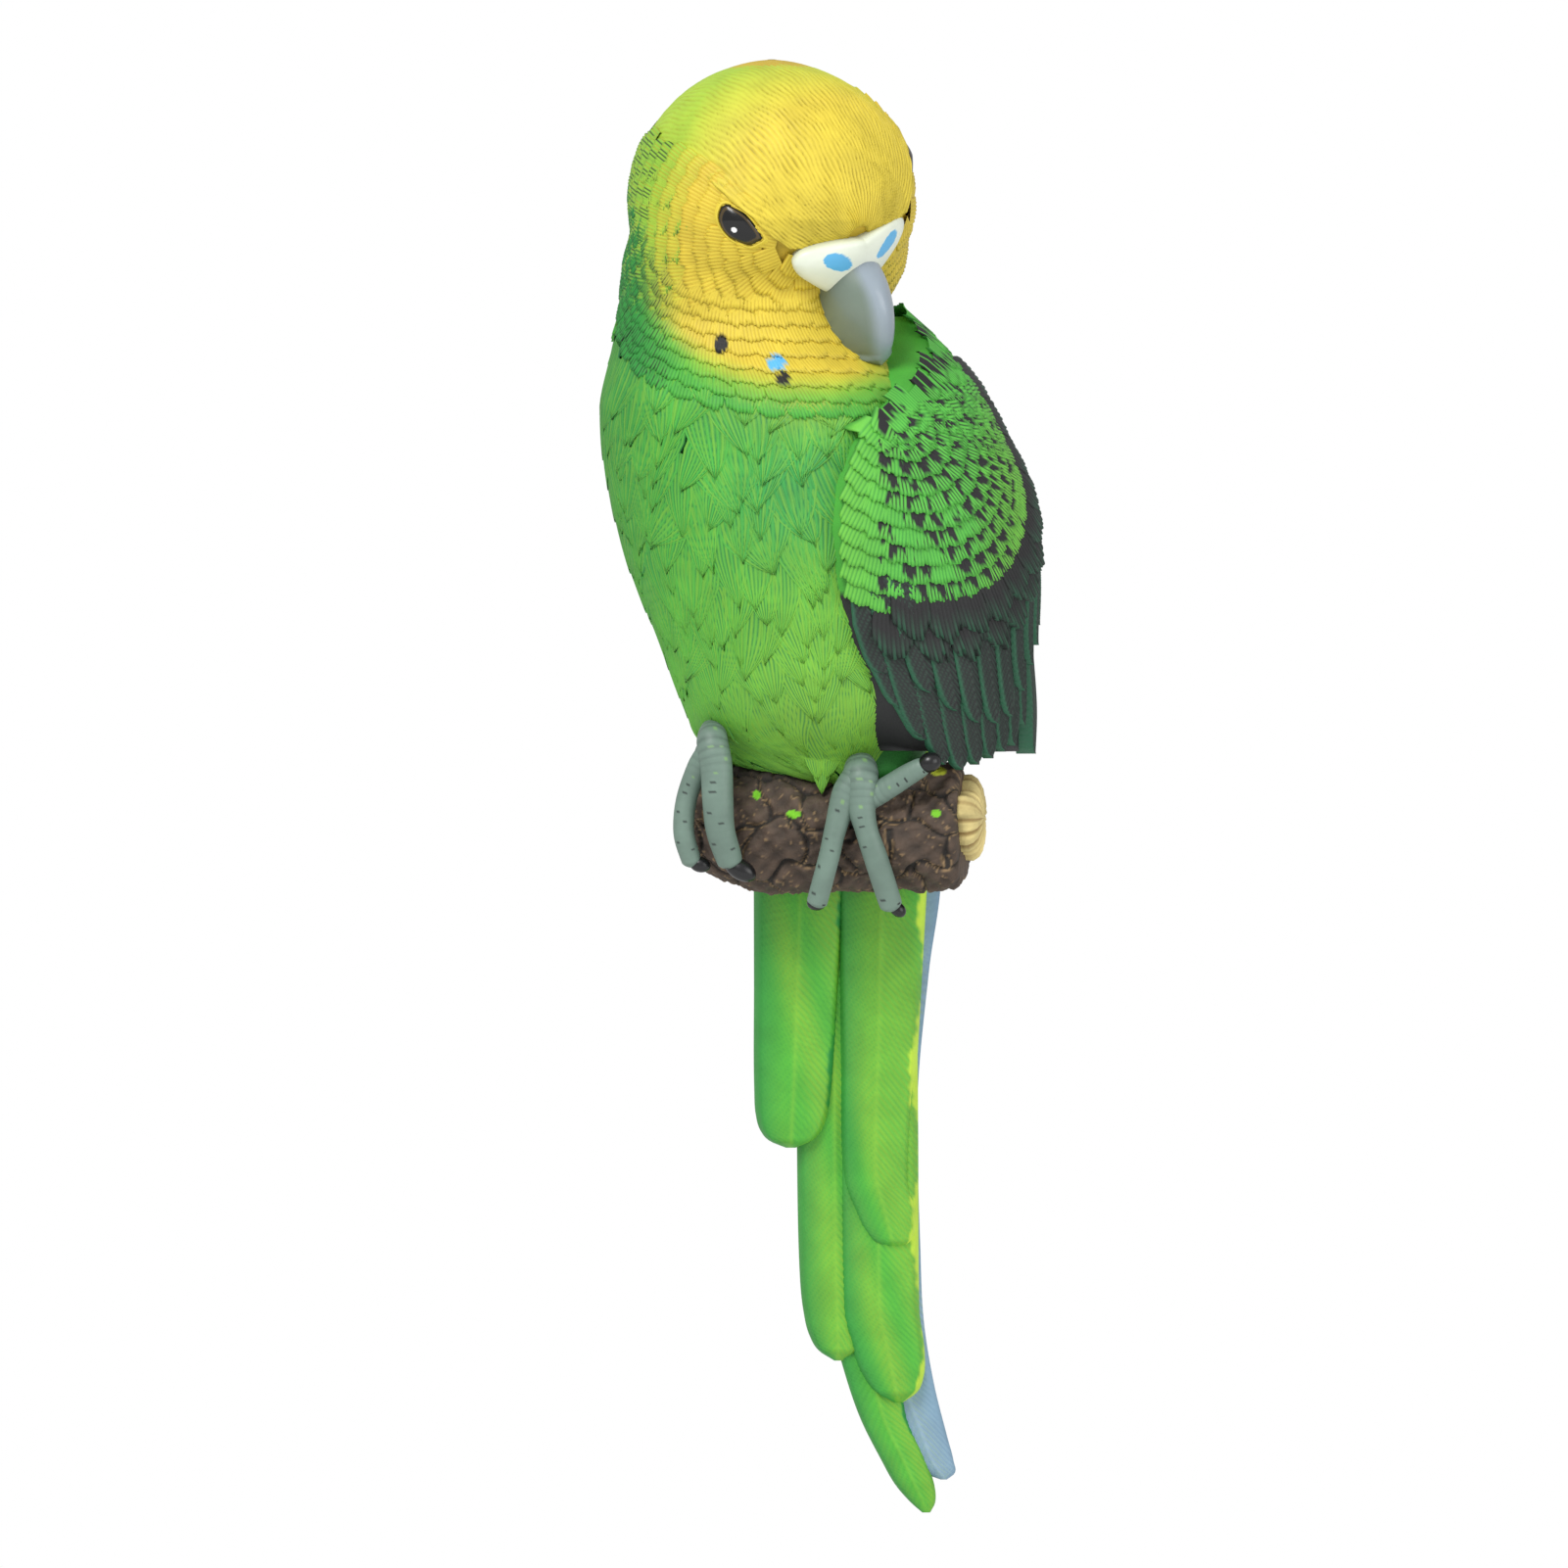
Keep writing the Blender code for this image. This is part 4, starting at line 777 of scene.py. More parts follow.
# Cere. Two smooth cream-white lobes sit over the root of the beak and meet in a notch. The
# nostrils are painted as two sky-blue patches.
CERE_OUTLINE = ((-5.2, 33.0), (-3.4, 34.4), (0.6, 35.6), (5.0, 36.4), (9.0, 36.6), (9.9, 34.6), (9.3, 31.8),
                (8.2, 29.2), (6.0, 27.2), (2.6, 26.4), (0.2, 27.3), (-2.0, 28.5), (-4.3, 30.0), (-5.4, 31.6))
CREAM = linear(232, 238, 222)


def cere_brush(points, r):
    """Cream with a blue nostril that has an uneven edge, greyer towards the lobe's rim as painted shade."""
    reach = (points[..., 1] - LENS_Y) / (PICTURE_Y - LENS_Y)
    x = (points[..., 0] - AIM_X) / reach + AIM_X
    z = (points[..., 2] - AIM_Z) / reach + AIM_Z
    wobble = 1.0 + 0.12 * np.sin(x * 3.1) * np.cos(z * 4.0)
    blue = ((x - 3.8) / 2.9) ** 2 + ((z - 31.8 + 0.12 * (x - 3.8)) / 1.75) ** 2
    tone = mixed(CREAM, linear(205, 212, 190), held((r - 0.7) / 0.3) * 0.6)
    return np.where((blue < wobble)[..., None], linear(90, 178, 228), tone)


horn_paint = grain_material("horn_paint", 0.34, 0.00003, 1500.0, 0.05, 0.2)
cere = new_store()
for other_side in (False, True):
    face_patch(cere, CERE_OUTLINE, lambda r: 1.4 + 1.8 * np.sqrt(held(1.0 - r ** 3)), 28, 120, cere_brush,
               other_side)
make_piece("cere", cere, horn_paint)

# Beak. A hooked grey horn with a rounded ridge, glossy, its root under the cere and its sides
# under the cheek feathers; the dark lower beak shows as a small edge behind it.
# Rings of the beak from root to tip: how far down, front, width and back as shares.
BEAK = np.array([
    (0.0, 0.70, 0.48, 1.0), (0.1, 0.77, 0.56, 1.0), (0.2, 0.85, 0.62, 1.0), (0.32, 0.93, 0.66, 1.0),
    (0.46, 0.98, 0.67, 1.0), (0.62, 1.0, 0.66, 1.0), (0.8, 0.99, 0.62, 1.0), (0.875, 0.972, 0.56, 1.05),
    (0.905, 0.962, 0.48, 1.6), (0.93, 0.953, 0.39, 2.05), (0.965, 0.938, 0.23, 2.25), (1.0, 0.92, 0.05, 2.38),
])
BEAK_REACH, BEAK_BACK, BEAK_HALF, BEAK_DROP = 34.6, 13.0, 10.0, 24.5
beak = new_store()
shares = np.linspace(0.0, 1.0, 96)
front, wide, back = smooth(BEAK, shares)
turns = np.linspace(0.0, 2 * math.pi, 72, endpoint=False)
near = (BEAK_REACH * front)[:, None]
far = np.minimum(BEAK_BACK * back, BEAK_REACH * front - 1.2)[:, None]
reach = 0.5 * (near + far) + 0.5 * (near - far) * np.cos(turns)
across = BEAK_HALF * wide[:, None] * np.sin(turns) * (1.0 - 0.25 * np.maximum(np.cos(turns), 0.0) ** 2)
level = (-1.5 - BEAK_DROP * shares)[:, None] + 0.0 * reach
points = HEAD_CENTRE + reach[..., None] * FORWARD + across[..., None] * SIDE + level[..., None] * UP
ridge_band = held((np.cos(turns - 0.2) - 0.66) / 0.2)[None, :] + 0.0 * reach
grey = mixed(linear(112, 126, 114), linear(146, 158, 168), ridge_band)
grey = mixed(grey, linear(90, 98, 94), held(-np.cos(turns) - 0.2)[None, :] + 0.0 * reach)
add_grid(beak, points, grey, True)
tip = drawn_in(points[-1:]) - UP * 0.25
add_grid(beak, np.concatenate((points[-1:], tip)), grey[-1:].mean(axis=1, keepdims=True), True)
make_piece("beak", beak, horn_paint)


def add_ball(store, centre, axes, halves, tone, rings=24, count=36):
    """Ball stretched along three axes."""
    lat = np.linspace(-math.pi / 2, math.pi / 2, rings)[:, None]
    lon = np.linspace(0, 2 * math.pi, count, endpoint=False)[None, :]
    points = (centre + axes[0] * (halves[0] * np.cos(lat) * np.cos(lon))[..., None]
              + axes[1] * (halves[1] * np.cos(lat) * np.sin(lon))[..., None]
              + axes[2] * (halves[2] * np.sin(lat) + 0.0 * lon)[..., None])
    add_grid(store, points, np.broadcast_to(tone, points.shape), True)


lower_beak = new_store()
add_ball(lower_beak, HEAD_CENTRE + FORWARD * 20.8 - UP * 22.2, (FORWARD, SIDE, UP), (7.0, 5.4, 4.2),
         linear(52, 58, 56))
make_piece("lower_beak", lower_beak, horn_paint)

# Wings. The folded wings and the back are one raised mass on the body, painted green above and
# black below. The rows of covert and flight feathers of the next sections lie on it.
wings = new_store()
levels = np.linspace(21.0, -66.0, 70)
shares = np.concatenate(([0.0, 0.0], np.linspace(0.0, 1.0, 90) ** 1.3, [1.0]))
edges = np.array([wing_edge(z) for z in levels])[:, None]
angle_grid = edges + 1.0 + (WING_END - edges - 1.0) * shares
z_grid = 21.0 + (levels[:, None] - 21.0) * (1.0 - 0.16 * np.maximum(0.0, (angle_grid - 110.0) / 140.0))
rise = np.full(angle_grid.shape, -0.5)
rise[:, 2:5] = [-1.3, -0.9, -0.6]
surface = on_wing(angle_grid, z_grid, rise)
inner = on_body(angle_grid, z_grid, -3.0 + 0.0 * angle_grid)
surface[:, 0], surface[:, -1] = inner[:, 0], inner[:, -1]
surface[:, 1] = 0.5 * (inner[:, 0] + surface[:, 2])
surface = np.concatenate((inner[:1], surface, inner[-1:]))
SLATE = linear(30, 31, 32)
add_grid(wings, surface, mixed(linear(70, 164, 52), SLATE, (surface[..., 2] < -35.0) * 1.0))
make_piece("wings", wings, plumage_paint)

# Coverts. Rows of short feathers bow round the near shoulder, bright green with black dashes of
# paint in their grooves. Over them the mantle runs down from the neck towards the wing's edge.
WING_GREEN = linear(92, 190, 66)
SHADE_GREEN = linear(30, 120, 50)


def covert_brush_for(ring, black_share):
    """Brush of one row of the wing; black_share says how many of its grooves are dashed."""

    def brush(points, u, v, ridge, strand):
        x, z = points[..., 0], points[..., 2]
        tone = mixed(WING_GREEN, LIME, held((x - 30.0) / 10.0) * 0.5 + held((16.0 - x) / 12.0) * 0.35)
        tone = mixed(tone, SHADE_GREEN, (1 - ridge) * 0.65)
        field = np.sin(x * 0.55 + ring * 1.9) + 0.8 * np.sin(z * 0.5 - ring * 2.3)
        field = field + 0.4 * np.sin(strand * 2.9) + 0.5 * np.clip((x - 22.0) / 8.0, -1, 1)
        patch = (field > 1.35 - 2.4 * black_share) & (x > 11.5) & (x < 39.0)
        stroke = (v < 0.72 + 0.2 * np.sin(strand * 5.3 + ring)) & (np.sin(strand * 7.7 + ring * 3.1) > -0.75)
        stroke = stroke | (ridge < 0.5) & (v < 0.95)
        # Each feather is darker at its root, as painted shade under the row above.
        return np.where((patch & stroke)[..., None], BLACK, tone) * (0.9 + 0.14 * v)[..., None]

    return brush


WING_RADIUS = 40.0
SHOULDER_TURN = 27.5
COVERT_LENGTH, COVERT_WIDTH, COVERT_PITCH = 5.6, 4.4, 3.45
coverts = new_store()
ring = 0
radius = WING_RADIUS
while radius > 4.0:
    start = float(np.interp(radius, [8, 11, 20, 28, 41], [-70, -56, -46, -36.5, -24.5]))
    stop = 104.0
    count = max(3, int(math.radians(stop - start) * radius / COVERT_WIDTH))
    brush = covert_brush_for(ring, 0.5 if radius > 38.0 else 0.93)
    for k in range(count):
        bearing = start + (stop - start) * (k + 0.5) / count
        lean = math.radians(bearing)
        inner = radius - 5.2
        turn = SHOULDER_TURN + math.degrees(inner * math.sin(lean) / WING_RADIUS)
        carve_feather(coverts, form_place(on_wing, turn, -inner * math.cos(lean), bearing), COVERT_LENGTH,
                      COVERT_WIDTH * 1.2, 0.9, 7, "scallop", brush, 6, 0.24)
    radius -= COVERT_PITCH
    ring += 1
for row in range(9):
    z = 26.0 - 3.5 * row
    start = max(wing_edge(min(z, 21.0)) - 5.0, 20.0)
    turn = start + 3.0 * (row % 2)
    brush = covert_brush_for(row + 20, 0.5)
    while turn < 116.0:
        form = on_wing if z < 23.5 else on_body
        carve_feather(coverts, form_place(form, turn, z, 32.0), COVERT_LENGTH, 4.8, 0.8, 7, "scallop", brush,
                      6, 0.24)
        turn += 6.4
make_piece("covert_feathers", coverts, plumage_paint)

# Flight feathers. Black blades with slanting barbs, first a short fan under the coverts, then the
# long ones down to the wing's tip. Their edges are brushed with dark green.
EDGE_GREEN = linear(36, 104, 72)
BARB, BARB_SLANT = 1.5, 1.2


def flight_brush(points, u, v, wave, shaft):
    """Near black, with dry-brushed green on the edges and the crests of the barbs."""
    tone = mixed(SLATE, EDGE_GREEN, held((np.abs(u) - 0.72) / 0.2) * 0.8 + 0.0 * v)
    tone = mixed(tone, EDGE_GREEN * 0.8, held(wave) * 0.35)
    return mixed(tone, linear(74, 78, 78), held(wave) * 0.12)


def blade_feather(store, place, length, width, lift, rows):
    """Long feather with a shaft and slanting barbs; its tip is round."""
    v, u = np.meshgrid(np.linspace(0, 1, rows), np.linspace(-1, 1, 17), indexing="ij")
    spread = np.interp(v, [0.0, 0.3, 0.75, 0.88, 0.96, 1.0], [0.75, 1.0, 0.98, 0.84, 0.55, 0.06])
    a = u * spread * width / 2
    b = v * length
    wave = np.sin(2 * math.pi * (b - np.abs(a) * BARB_SLANT) / BARB)
    shaft = np.exp(-(a / 0.35) ** 2)
    rise = lift * (0.1 + 0.9 * v ** 0.8) * (1.0 - 0.3 * u * u - 0.3 * u)
    rise = rise + 0.14 * wave * (1 - shaft) + 0.3 * shaft
    colour = flight_brush(place(a, b, rise), u, v, wave, shaft)
    add_sunk(store, place, a, b, rise, np.pad(colour, ((0, 1), (1, 1), (0, 0)), "edge"), 1.2)


def fan_brush(points, u, v, ridge, strand):
    """Black with a thin green brushing towards the tip."""
    # Grooves are near black, partly paint gathered there and partly painted shade.
    tone = mixed(SLATE, linear(14, 14, 15), (1 - ridge) * 0.8)
    bright = 0.3 + 0.5 * (np.sin(strand * 3.7 + u[0, 0]) > 0)
    return mixed(tone, EDGE_GREEN, held((v - 0.6) / 0.4) * ridge * bright)


LONG_BLADE, SHORT_BLADE = 36.0, 24.0
LONG_TIPS = ((12, 22, 30, 50, 58, 70, 80, 100, 120), (-60, -65, -69, -69.8, -67.0, -64, -60, -54, -47))
SHORT_TIPS = ((20, 30, 45, 60, 80, 110), (-53, -57.5, -61, -60.0, -49, -36))
flights = new_store()
for k in range(3):
    top = -36.5 - 7.0 * k
    place = form_place(on_wing, wing_edge(top) + 5.6, top, 9.0 + 8.0 * k)
    blade_feather(flights, place, 14.5, 7.4, 0.7, 50)
for k in range(11):
    turn = 19.0 + 8.6 * k
    tip = float(np.interp(turn, *LONG_TIPS))
    tip += 1.2 * math.sin(5.0 * k)
    place = form_place(on_wing, turn - 5.0, tip + LONG_BLADE, 7.5 - 1.4 * k)
    blade_feather(flights, place, LONG_BLADE, 8.6, 1.0, 90)
for k in range(9):
    turn = 24.0 + 9.4 * k
    tip = float(np.interp(turn, *SHORT_TIPS))
    place = form_place(on_wing, turn - 4.0, tip + SHORT_BLADE, 8.0 - 1.6 * k)
    blade_feather(flights, place, SHORT_BLADE, 7.6, 1.9, 80)
for layer, (reach, length) in enumerate(((37.5, 11.0), (32.5, 12.0))):
    for k in range(11):
        bearing = -12.0 + 11.2 * k + 5.0 * layer
        lean = math.radians(bearing)
        turn = SHOULDER_TURN + math.degrees(reach * math.sin(lean) / WING_RADIUS)
        place = form_place(on_wing, turn, -reach * math.cos(lean), bearing * 0.85 + 4.0)
        carve_feather(flights, place, length, 8.6, 2.3 - 0.2 * layer, 9, "fan", fan_brush, 8, 0.34)
blade_feather(flights, form_place(on_wing, 84.0, -40.5, 0.0), 26.0, 12.0, 2.4, 90)
make_piece("flight_feathers", flights, plumage_paint)

# Back. Barred feathers cover the nape and the back, each dark at its root and green at its edge;
# the tips of the far wing cross over them.


def back_brush(points, u, v, ridge, strand):
    """Green edge round a dark root."""
    tone = mixed(WING_GREEN * 0.9, SHADE_GREEN, (1 - ridge) * 0.6)
    bar = (v + 0.3 * u * u > 0.35) & (v + 0.3 * u * u < 0.72) & (points[..., 1] > -34.0)
    return np.where((bar & (ridge < 0.85))[..., None], BLACK * 1.2, tone)


def nape_brush(points, u, v, ridge, strand):
    """Yellow-green near the crown, darker down the neck, with short black dashes in the grooves."""
    low = held((32.0 - points[..., 2]) / 18.0)
    tone = mixed(mixed(YELLOW, LIME, 0.7), WING_GREEN * 0.8, low)
    tone = mixed(tone, SHADE_GREEN, (1 - ridge) * 0.6)
    dash = (ridge < 0.5) & (np.sin(strand * 4.1 + points[0, 0, 2]) > 0.1)
    dash = dash & (v > 0.3) & (points[..., 2] < 56.0)
    return painted(tone, dash, BLACK * 1.3)


back = new_store()
for row in range(13):
    z = 30.0 - 5.2 * row
    turn = 108.0 + 5.0 * (row % 2)
    form, turn_step = (on_body, 10.5) if z > 18.0 else (on_wing, 9.4)
    while turn < 262.0:
        carve_feather(back, form_place(form, turn, z, 0.0), 8.2, 7.0, 0.9, 9, "scallop", back_brush, 6, 0.22)
        turn += turn_step
for row in range(9):
    high = math.radians(62.0 - 11.0 * row)
    count = max(8, int(2 * math.pi * math.cos(high) * 29.0 / 5.2))
    for k in range(count):
        spin = 2 * math.pi * (k + 0.5 * (row % 2)) / count
        way = np.array([math.cos(high) * math.sin(spin), -math.cos(high) * math.cos(spin), math.sin(high)])
        rho_here, phi_here = face_angles(way)
        if rho_here < 84.0 or rho_here < 150.0 and abs(phi_here) < crown_edge(rho_here) + 2.0:
            continue
        carve_feather(back, skin_place(way, np.array([0.0, 0.0, -1.0])), 6.4, 5.6, 0.5, 8, "scallop",
                      nape_brush, 6, 0.22)
for k in range(11):
    place = form_place(on_wing, 224.0 - 10.0 * k, -30.0 - 1.6 * k, -34.0)
    blade_feather(back, place, 31.0 - 0.8 * k, 8.6, 1.2, 80)
make_piece("back_feathers", back, plumage_paint)

# Tail. Long feathers overlap like slats, one mass behind: four green ones and the longest in
# front, a blue-grey one with a lacy green edge at the right. Slanting barbs run from each shaft.
TAIL_GREEN = linear(70, 172, 50)
TAIL_LIME = linear(132, 190, 52)
TAIL_SHADE = linear(38, 140, 58)
BLUE_GREY = linear(122, 154, 176)
TAIL_BARB, TAIL_SLANT = 1.7, 1.35
TAIL_ROOT = -62.0
TAIL_TIP = round(cad_box[0][2] / MM, 1)


def tail_y(z):
    """Middle of the tail's thickness at a height."""
    share = (z - TAIL_ROOT) / (TAIL_TIP - TAIL_ROOT)
    return -27.0 + 19.0 * (1.0 - held(1.0 - share) ** 1.35)


def tail_brush_for(base, light, shade, edge):
    """Brush of a tail feather from its colours."""

    def brush(x, z, u, wave, shaft):
        streak = 0.5 + 0.5 * np.sin(z * 0.09 + u * 2.4 + np.sin(z * 0.05 + x * 0.2) * 2.0)
        tone = mixed(base, light, 0.1 + 0.5 * streak)
        tone = mixed(tone, mixed(light, OLIVE, 0.7), held(wave) * 0.5 * streak)
        tone = mixed(tone, shade, held(-wave) * 0.3)
        tone = mixed(tone, shade, held((-u - 0.25) / 0.6) * 0.8)
        lace = u - 0.9 + 0.12 * np.sin(z * 0.19 + 1.0) + 0.05 * np.sin(z * 1.3) * np.sin(z * 0.61)
        tone = mixed(tone, edge, lace / 0.06)
        return mixed(tone, light, shaft * 0.35)

    return brush


def tail_feather(store, stations, face, rear, brush):
    """Long closed blade, carved on the front; its stations are z, middle x and half width in the picture."""
    table = np.array(stations, dtype=float)[::-1]
    rows = int((table[-1, 0] - table[0, 0]) / 0.5)
    z = np.linspace(table[-1, 0], table[0, 0], rows)
    middle, half = smooth(table, z)
    u = np.linspace(-1, 1, 37)
    a = half[:, None] * u
    down = (table[-1, 0] - z)[:, None] + 0.0 * a
    wave = down - np.abs(a) * TAIL_SLANT + 0.4 * np.sin(down * 0.23 + a * 0.5)
    wave = np.sin(2 * math.pi * wave / TAIL_BARB)
    shaft = np.exp(-(a / 0.45) ** 2)
    pinch = np.minimum(1.0, half / 4.0)[:, None]
    profile = 1.0 - 0.16 * np.abs(u) ** 2 - 0.5 * held((np.abs(u) - 0.8) / 0.2) ** 2
    front = face * (0.35 + 0.65 * pinch) * profile
    front = front + 0.14 * wave * (1 - shaft) * pinch + 0.22 * shaft * pinch - 0.1
    behind = rear * (0.35 + 0.65 * pinch) * (1.0 - 0.4 * np.abs(u) ** 3)
    y = tail_y(z)[:, None]
    z_grid = z[:, None] + 0.0 * a
    x_grid = middle[:, None] + a * 0.99
    tone = brush(x_grid, z_grid, u + 0.0 * a, wave, shaft)
    face_points = sight_point(x_grid, y - front, z_grid)
    rear_points = sight_point(x_grid, y + behind, z_grid)[:, ::-4]
    # The rear faces are painted darker, as painted shade on the side turned away.
    rear_shaded_tone = brush(x_grid, z_grid, u + 0.0 * a, -0.2 + 0.0 * wave, 0.0 * shaft)[:, ::-4] * 0.8
    ring = np.concatenate((face_points, rear_points), axis=1)
    tones = np.concatenate((tone, rear_shaded_tone), axis=1)
    add_grid(store, np.concatenate((ring, drawn_in(ring[-1:]))), np.concatenate((tones, tones[-1:])), True)


# Green feathers: x at top, low down and tip, z of the tip, half width at top and low, how proud.
TAIL_ROWS = ((-2.6, -5.0, -5.6, -145.4, 10.6, 8.0, 4.6), (13.0, 11.5, 15.2, -166.0, 10.5, 7.0, 4.4),
             (2.4, 3.5, 4.0, -188.0, 8.5, 7.4, 1.6), (11.0, 12.2, 15.9, -196.4, 8.5, 8.0, 3.0))
TIP_START = 0.86
TIP_SPREAD = ((0.0, 1.0), (0.3, 1.0), (0.6, 1.0), (TIP_START, 1.0), (0.92, 0.93), (0.96, 0.78), (0.985, 0.52),
              (1.0, 0.12))
green_brush = tail_brush_for(TAIL_GREEN, TAIL_LIME, TAIL_SHADE, TAIL_SHADE)
lacy_brush = tail_brush_for(TAIL_GREEN, TAIL_LIME, TAIL_SHADE, linear(186, 222, 60))
for number, (top_x, low_x, tip_x, tip_z, half_top, half_low, proud) in enumerate(TAIL_ROWS):
    stations = []
    for share, spread in TIP_SPREAD:
        along, past = min(1.0, share / TIP_START), max(0.0, share - TIP_START)
        half = (half_top + (half_low - half_top) * along) * spread
        middle = top_x + (low_x - top_x) * along + (tip_x - low_x) * past / (1.0 - TIP_START)
        stations.append((TAIL_ROOT + (tip_z - TAIL_ROOT) * share, middle, half))
    store = new_store()
    tail_feather(store, stations, 3.0 + proud, 2.5, green_brush if top_x < 5.0 else lacy_brush)
    make_piece("tail_feather_%d" % (number + 1), store, plumage_paint)
long_green = new_store()
tail_feather(long_green, ((-150.0, 8.0, 8.0), (-175.0, 9.0, 8.0), (-187.0, 10.5, 6.4), (-199.4, 13.0, 4.8),
                          (-207.6, 16.8, 4.5), (-213.0, 19.3, 3.9), (-216.5, 20.9, 2.4),
                          (TAIL_TIP, 21.5, 0.8)),
             3.2, 2.4, green_brush)
make_piece("long_tail_feather", long_green, plumage_paint)
blue = new_store()
tail_feather(blue, ((TAIL_ROOT, 8.0, 17.0), (-92.0, 8.0, 16.6), (-110.0, 9.0, 13.2), (-140.0, 11.0, 8.8),
                    (-165.0, 12.0, 8.4), (-180.0, 13.5, 7.6), (-193.0, 17.0, 6.2), (-203.0, 20.7, 5.0),
                    (-208.0, 22.6, 4.4), (-210.6, 24.2, 3.0), (-211.8, 25.0, 0.6)), 1.8, 3.7,
             tail_brush_for(BLUE_GREY, linear(150, 178, 196), linear(92, 122, 150), BLUE_GREY))
make_piece("blue_tail_feather", blue, plumage_paint)

# Branch. A short stub with rough dark bark, cracked lengthwise and dry-brushed tan, with a few
# dabs of moss. At its right end the bark is broken back round bare cream wood.
BARK = linear(88, 72, 60)
BARK_DARK = linear(34, 30, 26)
BARK_LIGHT = linear(158, 130, 92)
MOSS = linear(122, 200, 40)
MOSS_DABS = ((-12.4, -74.8, 1.5, 1.9), (-5.1, -78.6, 3.0, 1.5), (23.2, -78.4, 2.0, 1.6))
WOOD = linear(214, 196, 132)
BRANCH_RADIUS = 12.6


def branch_point(along, turn, radius):
    """Points round the branch's leaning axis; turn 0 is the front, 90 the top."""
    lean = math.radians(10.0)
    axis = np.array([math.cos(lean), -math.sin(lean), 0.0])
    front = np.array([-math.sin(lean), -math.cos(lean), 0.0])
    spin = np.radians(turn)
    base = np.array([1.5, -42.0, -81.3]) + axis * ((along - 1.5) / math.cos(lean))[..., None]
    up = np.array([0.0, 0.0, 1.0])
    return base + front * (radius * np.cos(spin))[..., None] + up * (radius * np.sin(spin))[..., None]


def bark_lump(along, turn):
    """Uneven radius of the bark in large."""
    spin = np.radians(turn)
    lump = 0.5 * np.sin(3 * spin + 0.16 * along) + 0.4 * np.sin(5 * spin - 0.23 * along + 1.0)
    lump += 0.35 * np.sin(2 * spin + 0.41 * along + 2.0) + 0.3 * np.sin(7 * spin + 0.55 * along)
    return BRANCH_RADIUS + 0.9 * lump


BARK_RINGS, BARK_SIDES = 150, 240
bark_paint = grain_material("bark_paint", 0.78, 0.0004, 1400.0, 0.25)
branch = new_store()
along = np.linspace(-26.0, 29.0, BARK_RINGS)[:, None]
turn = np.linspace(0.0, 360.0, BARK_SIDES, endpoint=False)[None, :]
wide_x = along + 1.6 * np.sin(np.radians(turn * 3.0) + along * 0.2)
wide_x = wide_x + 0.8 * np.sin(np.radians(turn * 7.0) - along * 0.31)
wide_t = turn + 9.0 * np.sin(along * 0.26 + np.radians(turn * 2.0)) + 4.0 * np.sin(along * 0.71 + 2.0)
cross_seam = np.abs(np.sin(wide_x * 0.33 + np.floor(wide_t / 45.0) * 1.9))
seam = np.minimum(np.abs(np.sin(np.radians(wide_t * 4.0))), cross_seam)
plate = held((seam - 0.07) / 0.16)
rough = 0.5 * np.sin(along * 1.3 + turn * 0.21)
rough = rough + 0.5 * np.sin(turn * 0.34 - along * 0.9 + 2.0 * np.sin(along * 0.37))
flecks = np.random.default_rng(11).normal(0.0, 1.0, (BARK_RINGS, BARK_SIDES))
fine = (flecks + np.roll(flecks, 1, 0) + np.roll(flecks, 1, 1) + np.roll(flecks, (1, 1), (0, 1))) / 2.0
relief = 0.7 * (plate - 0.8) + 0.3 * rough + 0.09 * fine
radius = bark_lump(along, turn) + relief - 0.2
left = held((along + 28.0) / 14.0)
radius = radius * (0.86 + 0.14 * held((29.0 - along) / 1.5) ** 0.5)
radius = radius * (0.62 + 0.38 * np.sin(left * math.pi / 2))
points = branch_point(along + 0.0 * turn, turn + 0.0 * along, radius)
points[..., 2] += BRANCH_RADIUS * 0.38 * (1.0 - np.sin(left * math.pi / 2)) * 0.7
tone = mixed(BARK_DARK, BARK, plate * (0.7 + 0.3 * rough))
rim = np.exp(-((seam - 0.13) / 0.035) ** 2) * (np.sin(wide_x * 0.9 + wide_t * 0.11) > -0.2)
tone = mixed(tone, BARK_LIGHT, rim * 0.7 + held((fine - 1.7) / 0.5) * 0.6)
# Painted shadow darkens the top of the branch at the left, under the belly and the feet.
belly_shadow = held((points[..., 2] + 74.0) / 4.0) * held((6.0 - points[..., 0]) / 6.0)
tone = mixed(tone, BARK_DARK, belly_shadow * 0.8)
for moss_x, moss_z, wide, high in MOSS_DABS:
    here = in_oval(points, moss_x, moss_z, wide, high) & (points[..., 1] < -42.0)
    tone = painted(tone, here, MOSS)
tone = painted(tone, in_oval(points, 23.8, -70.0, 3.0, 1.8), linear(186, 196, 52))
# The closed left end is painted darker, as painted shade behind the left foot.
add_grid(branch, np.concatenate((drawn_in(points[:1]), points, drawn_in(points[-1:]))),
         np.concatenate((tone[:1] * 0.6, tone, tone[-1:])), True)
make_piece("branch", branch, bark_paint)
wood = new_store()
along = np.array([27.0, 29.6, 30.4, 31.6, 32.4, 33.0])[:, None]
size = np.array([1.0, 1.05, 1.05, 0.95, 0.78, 0.4])[:, None]
turn = np.linspace(0.0, 360.0, 121)[:-1][None, :]
jag = 1.0 + 0.12 * np.sin(3 * np.radians(turn) + 1.3) + 0.1 * np.sin(5 * np.radians(turn))
split = 0.3 * np.sin(np.radians(turn * 16.0)) + 0.2 * np.sin(np.radians(turn * 29.0))
radius = 7.4 * size * jag + split
points = branch_point(along + 0.25 * split, turn + 0.0 * along, radius) + np.array([0.0, 0.0, 2.0])
tone = mixed(WOOD, linear(150, 120, 70), held(-split * 2.0) + 0.0 * radius)
add_grid(wood, np.concatenate((points, drawn_in(points[-1:]))), np.concatenate((tone, tone[-1:])), True)
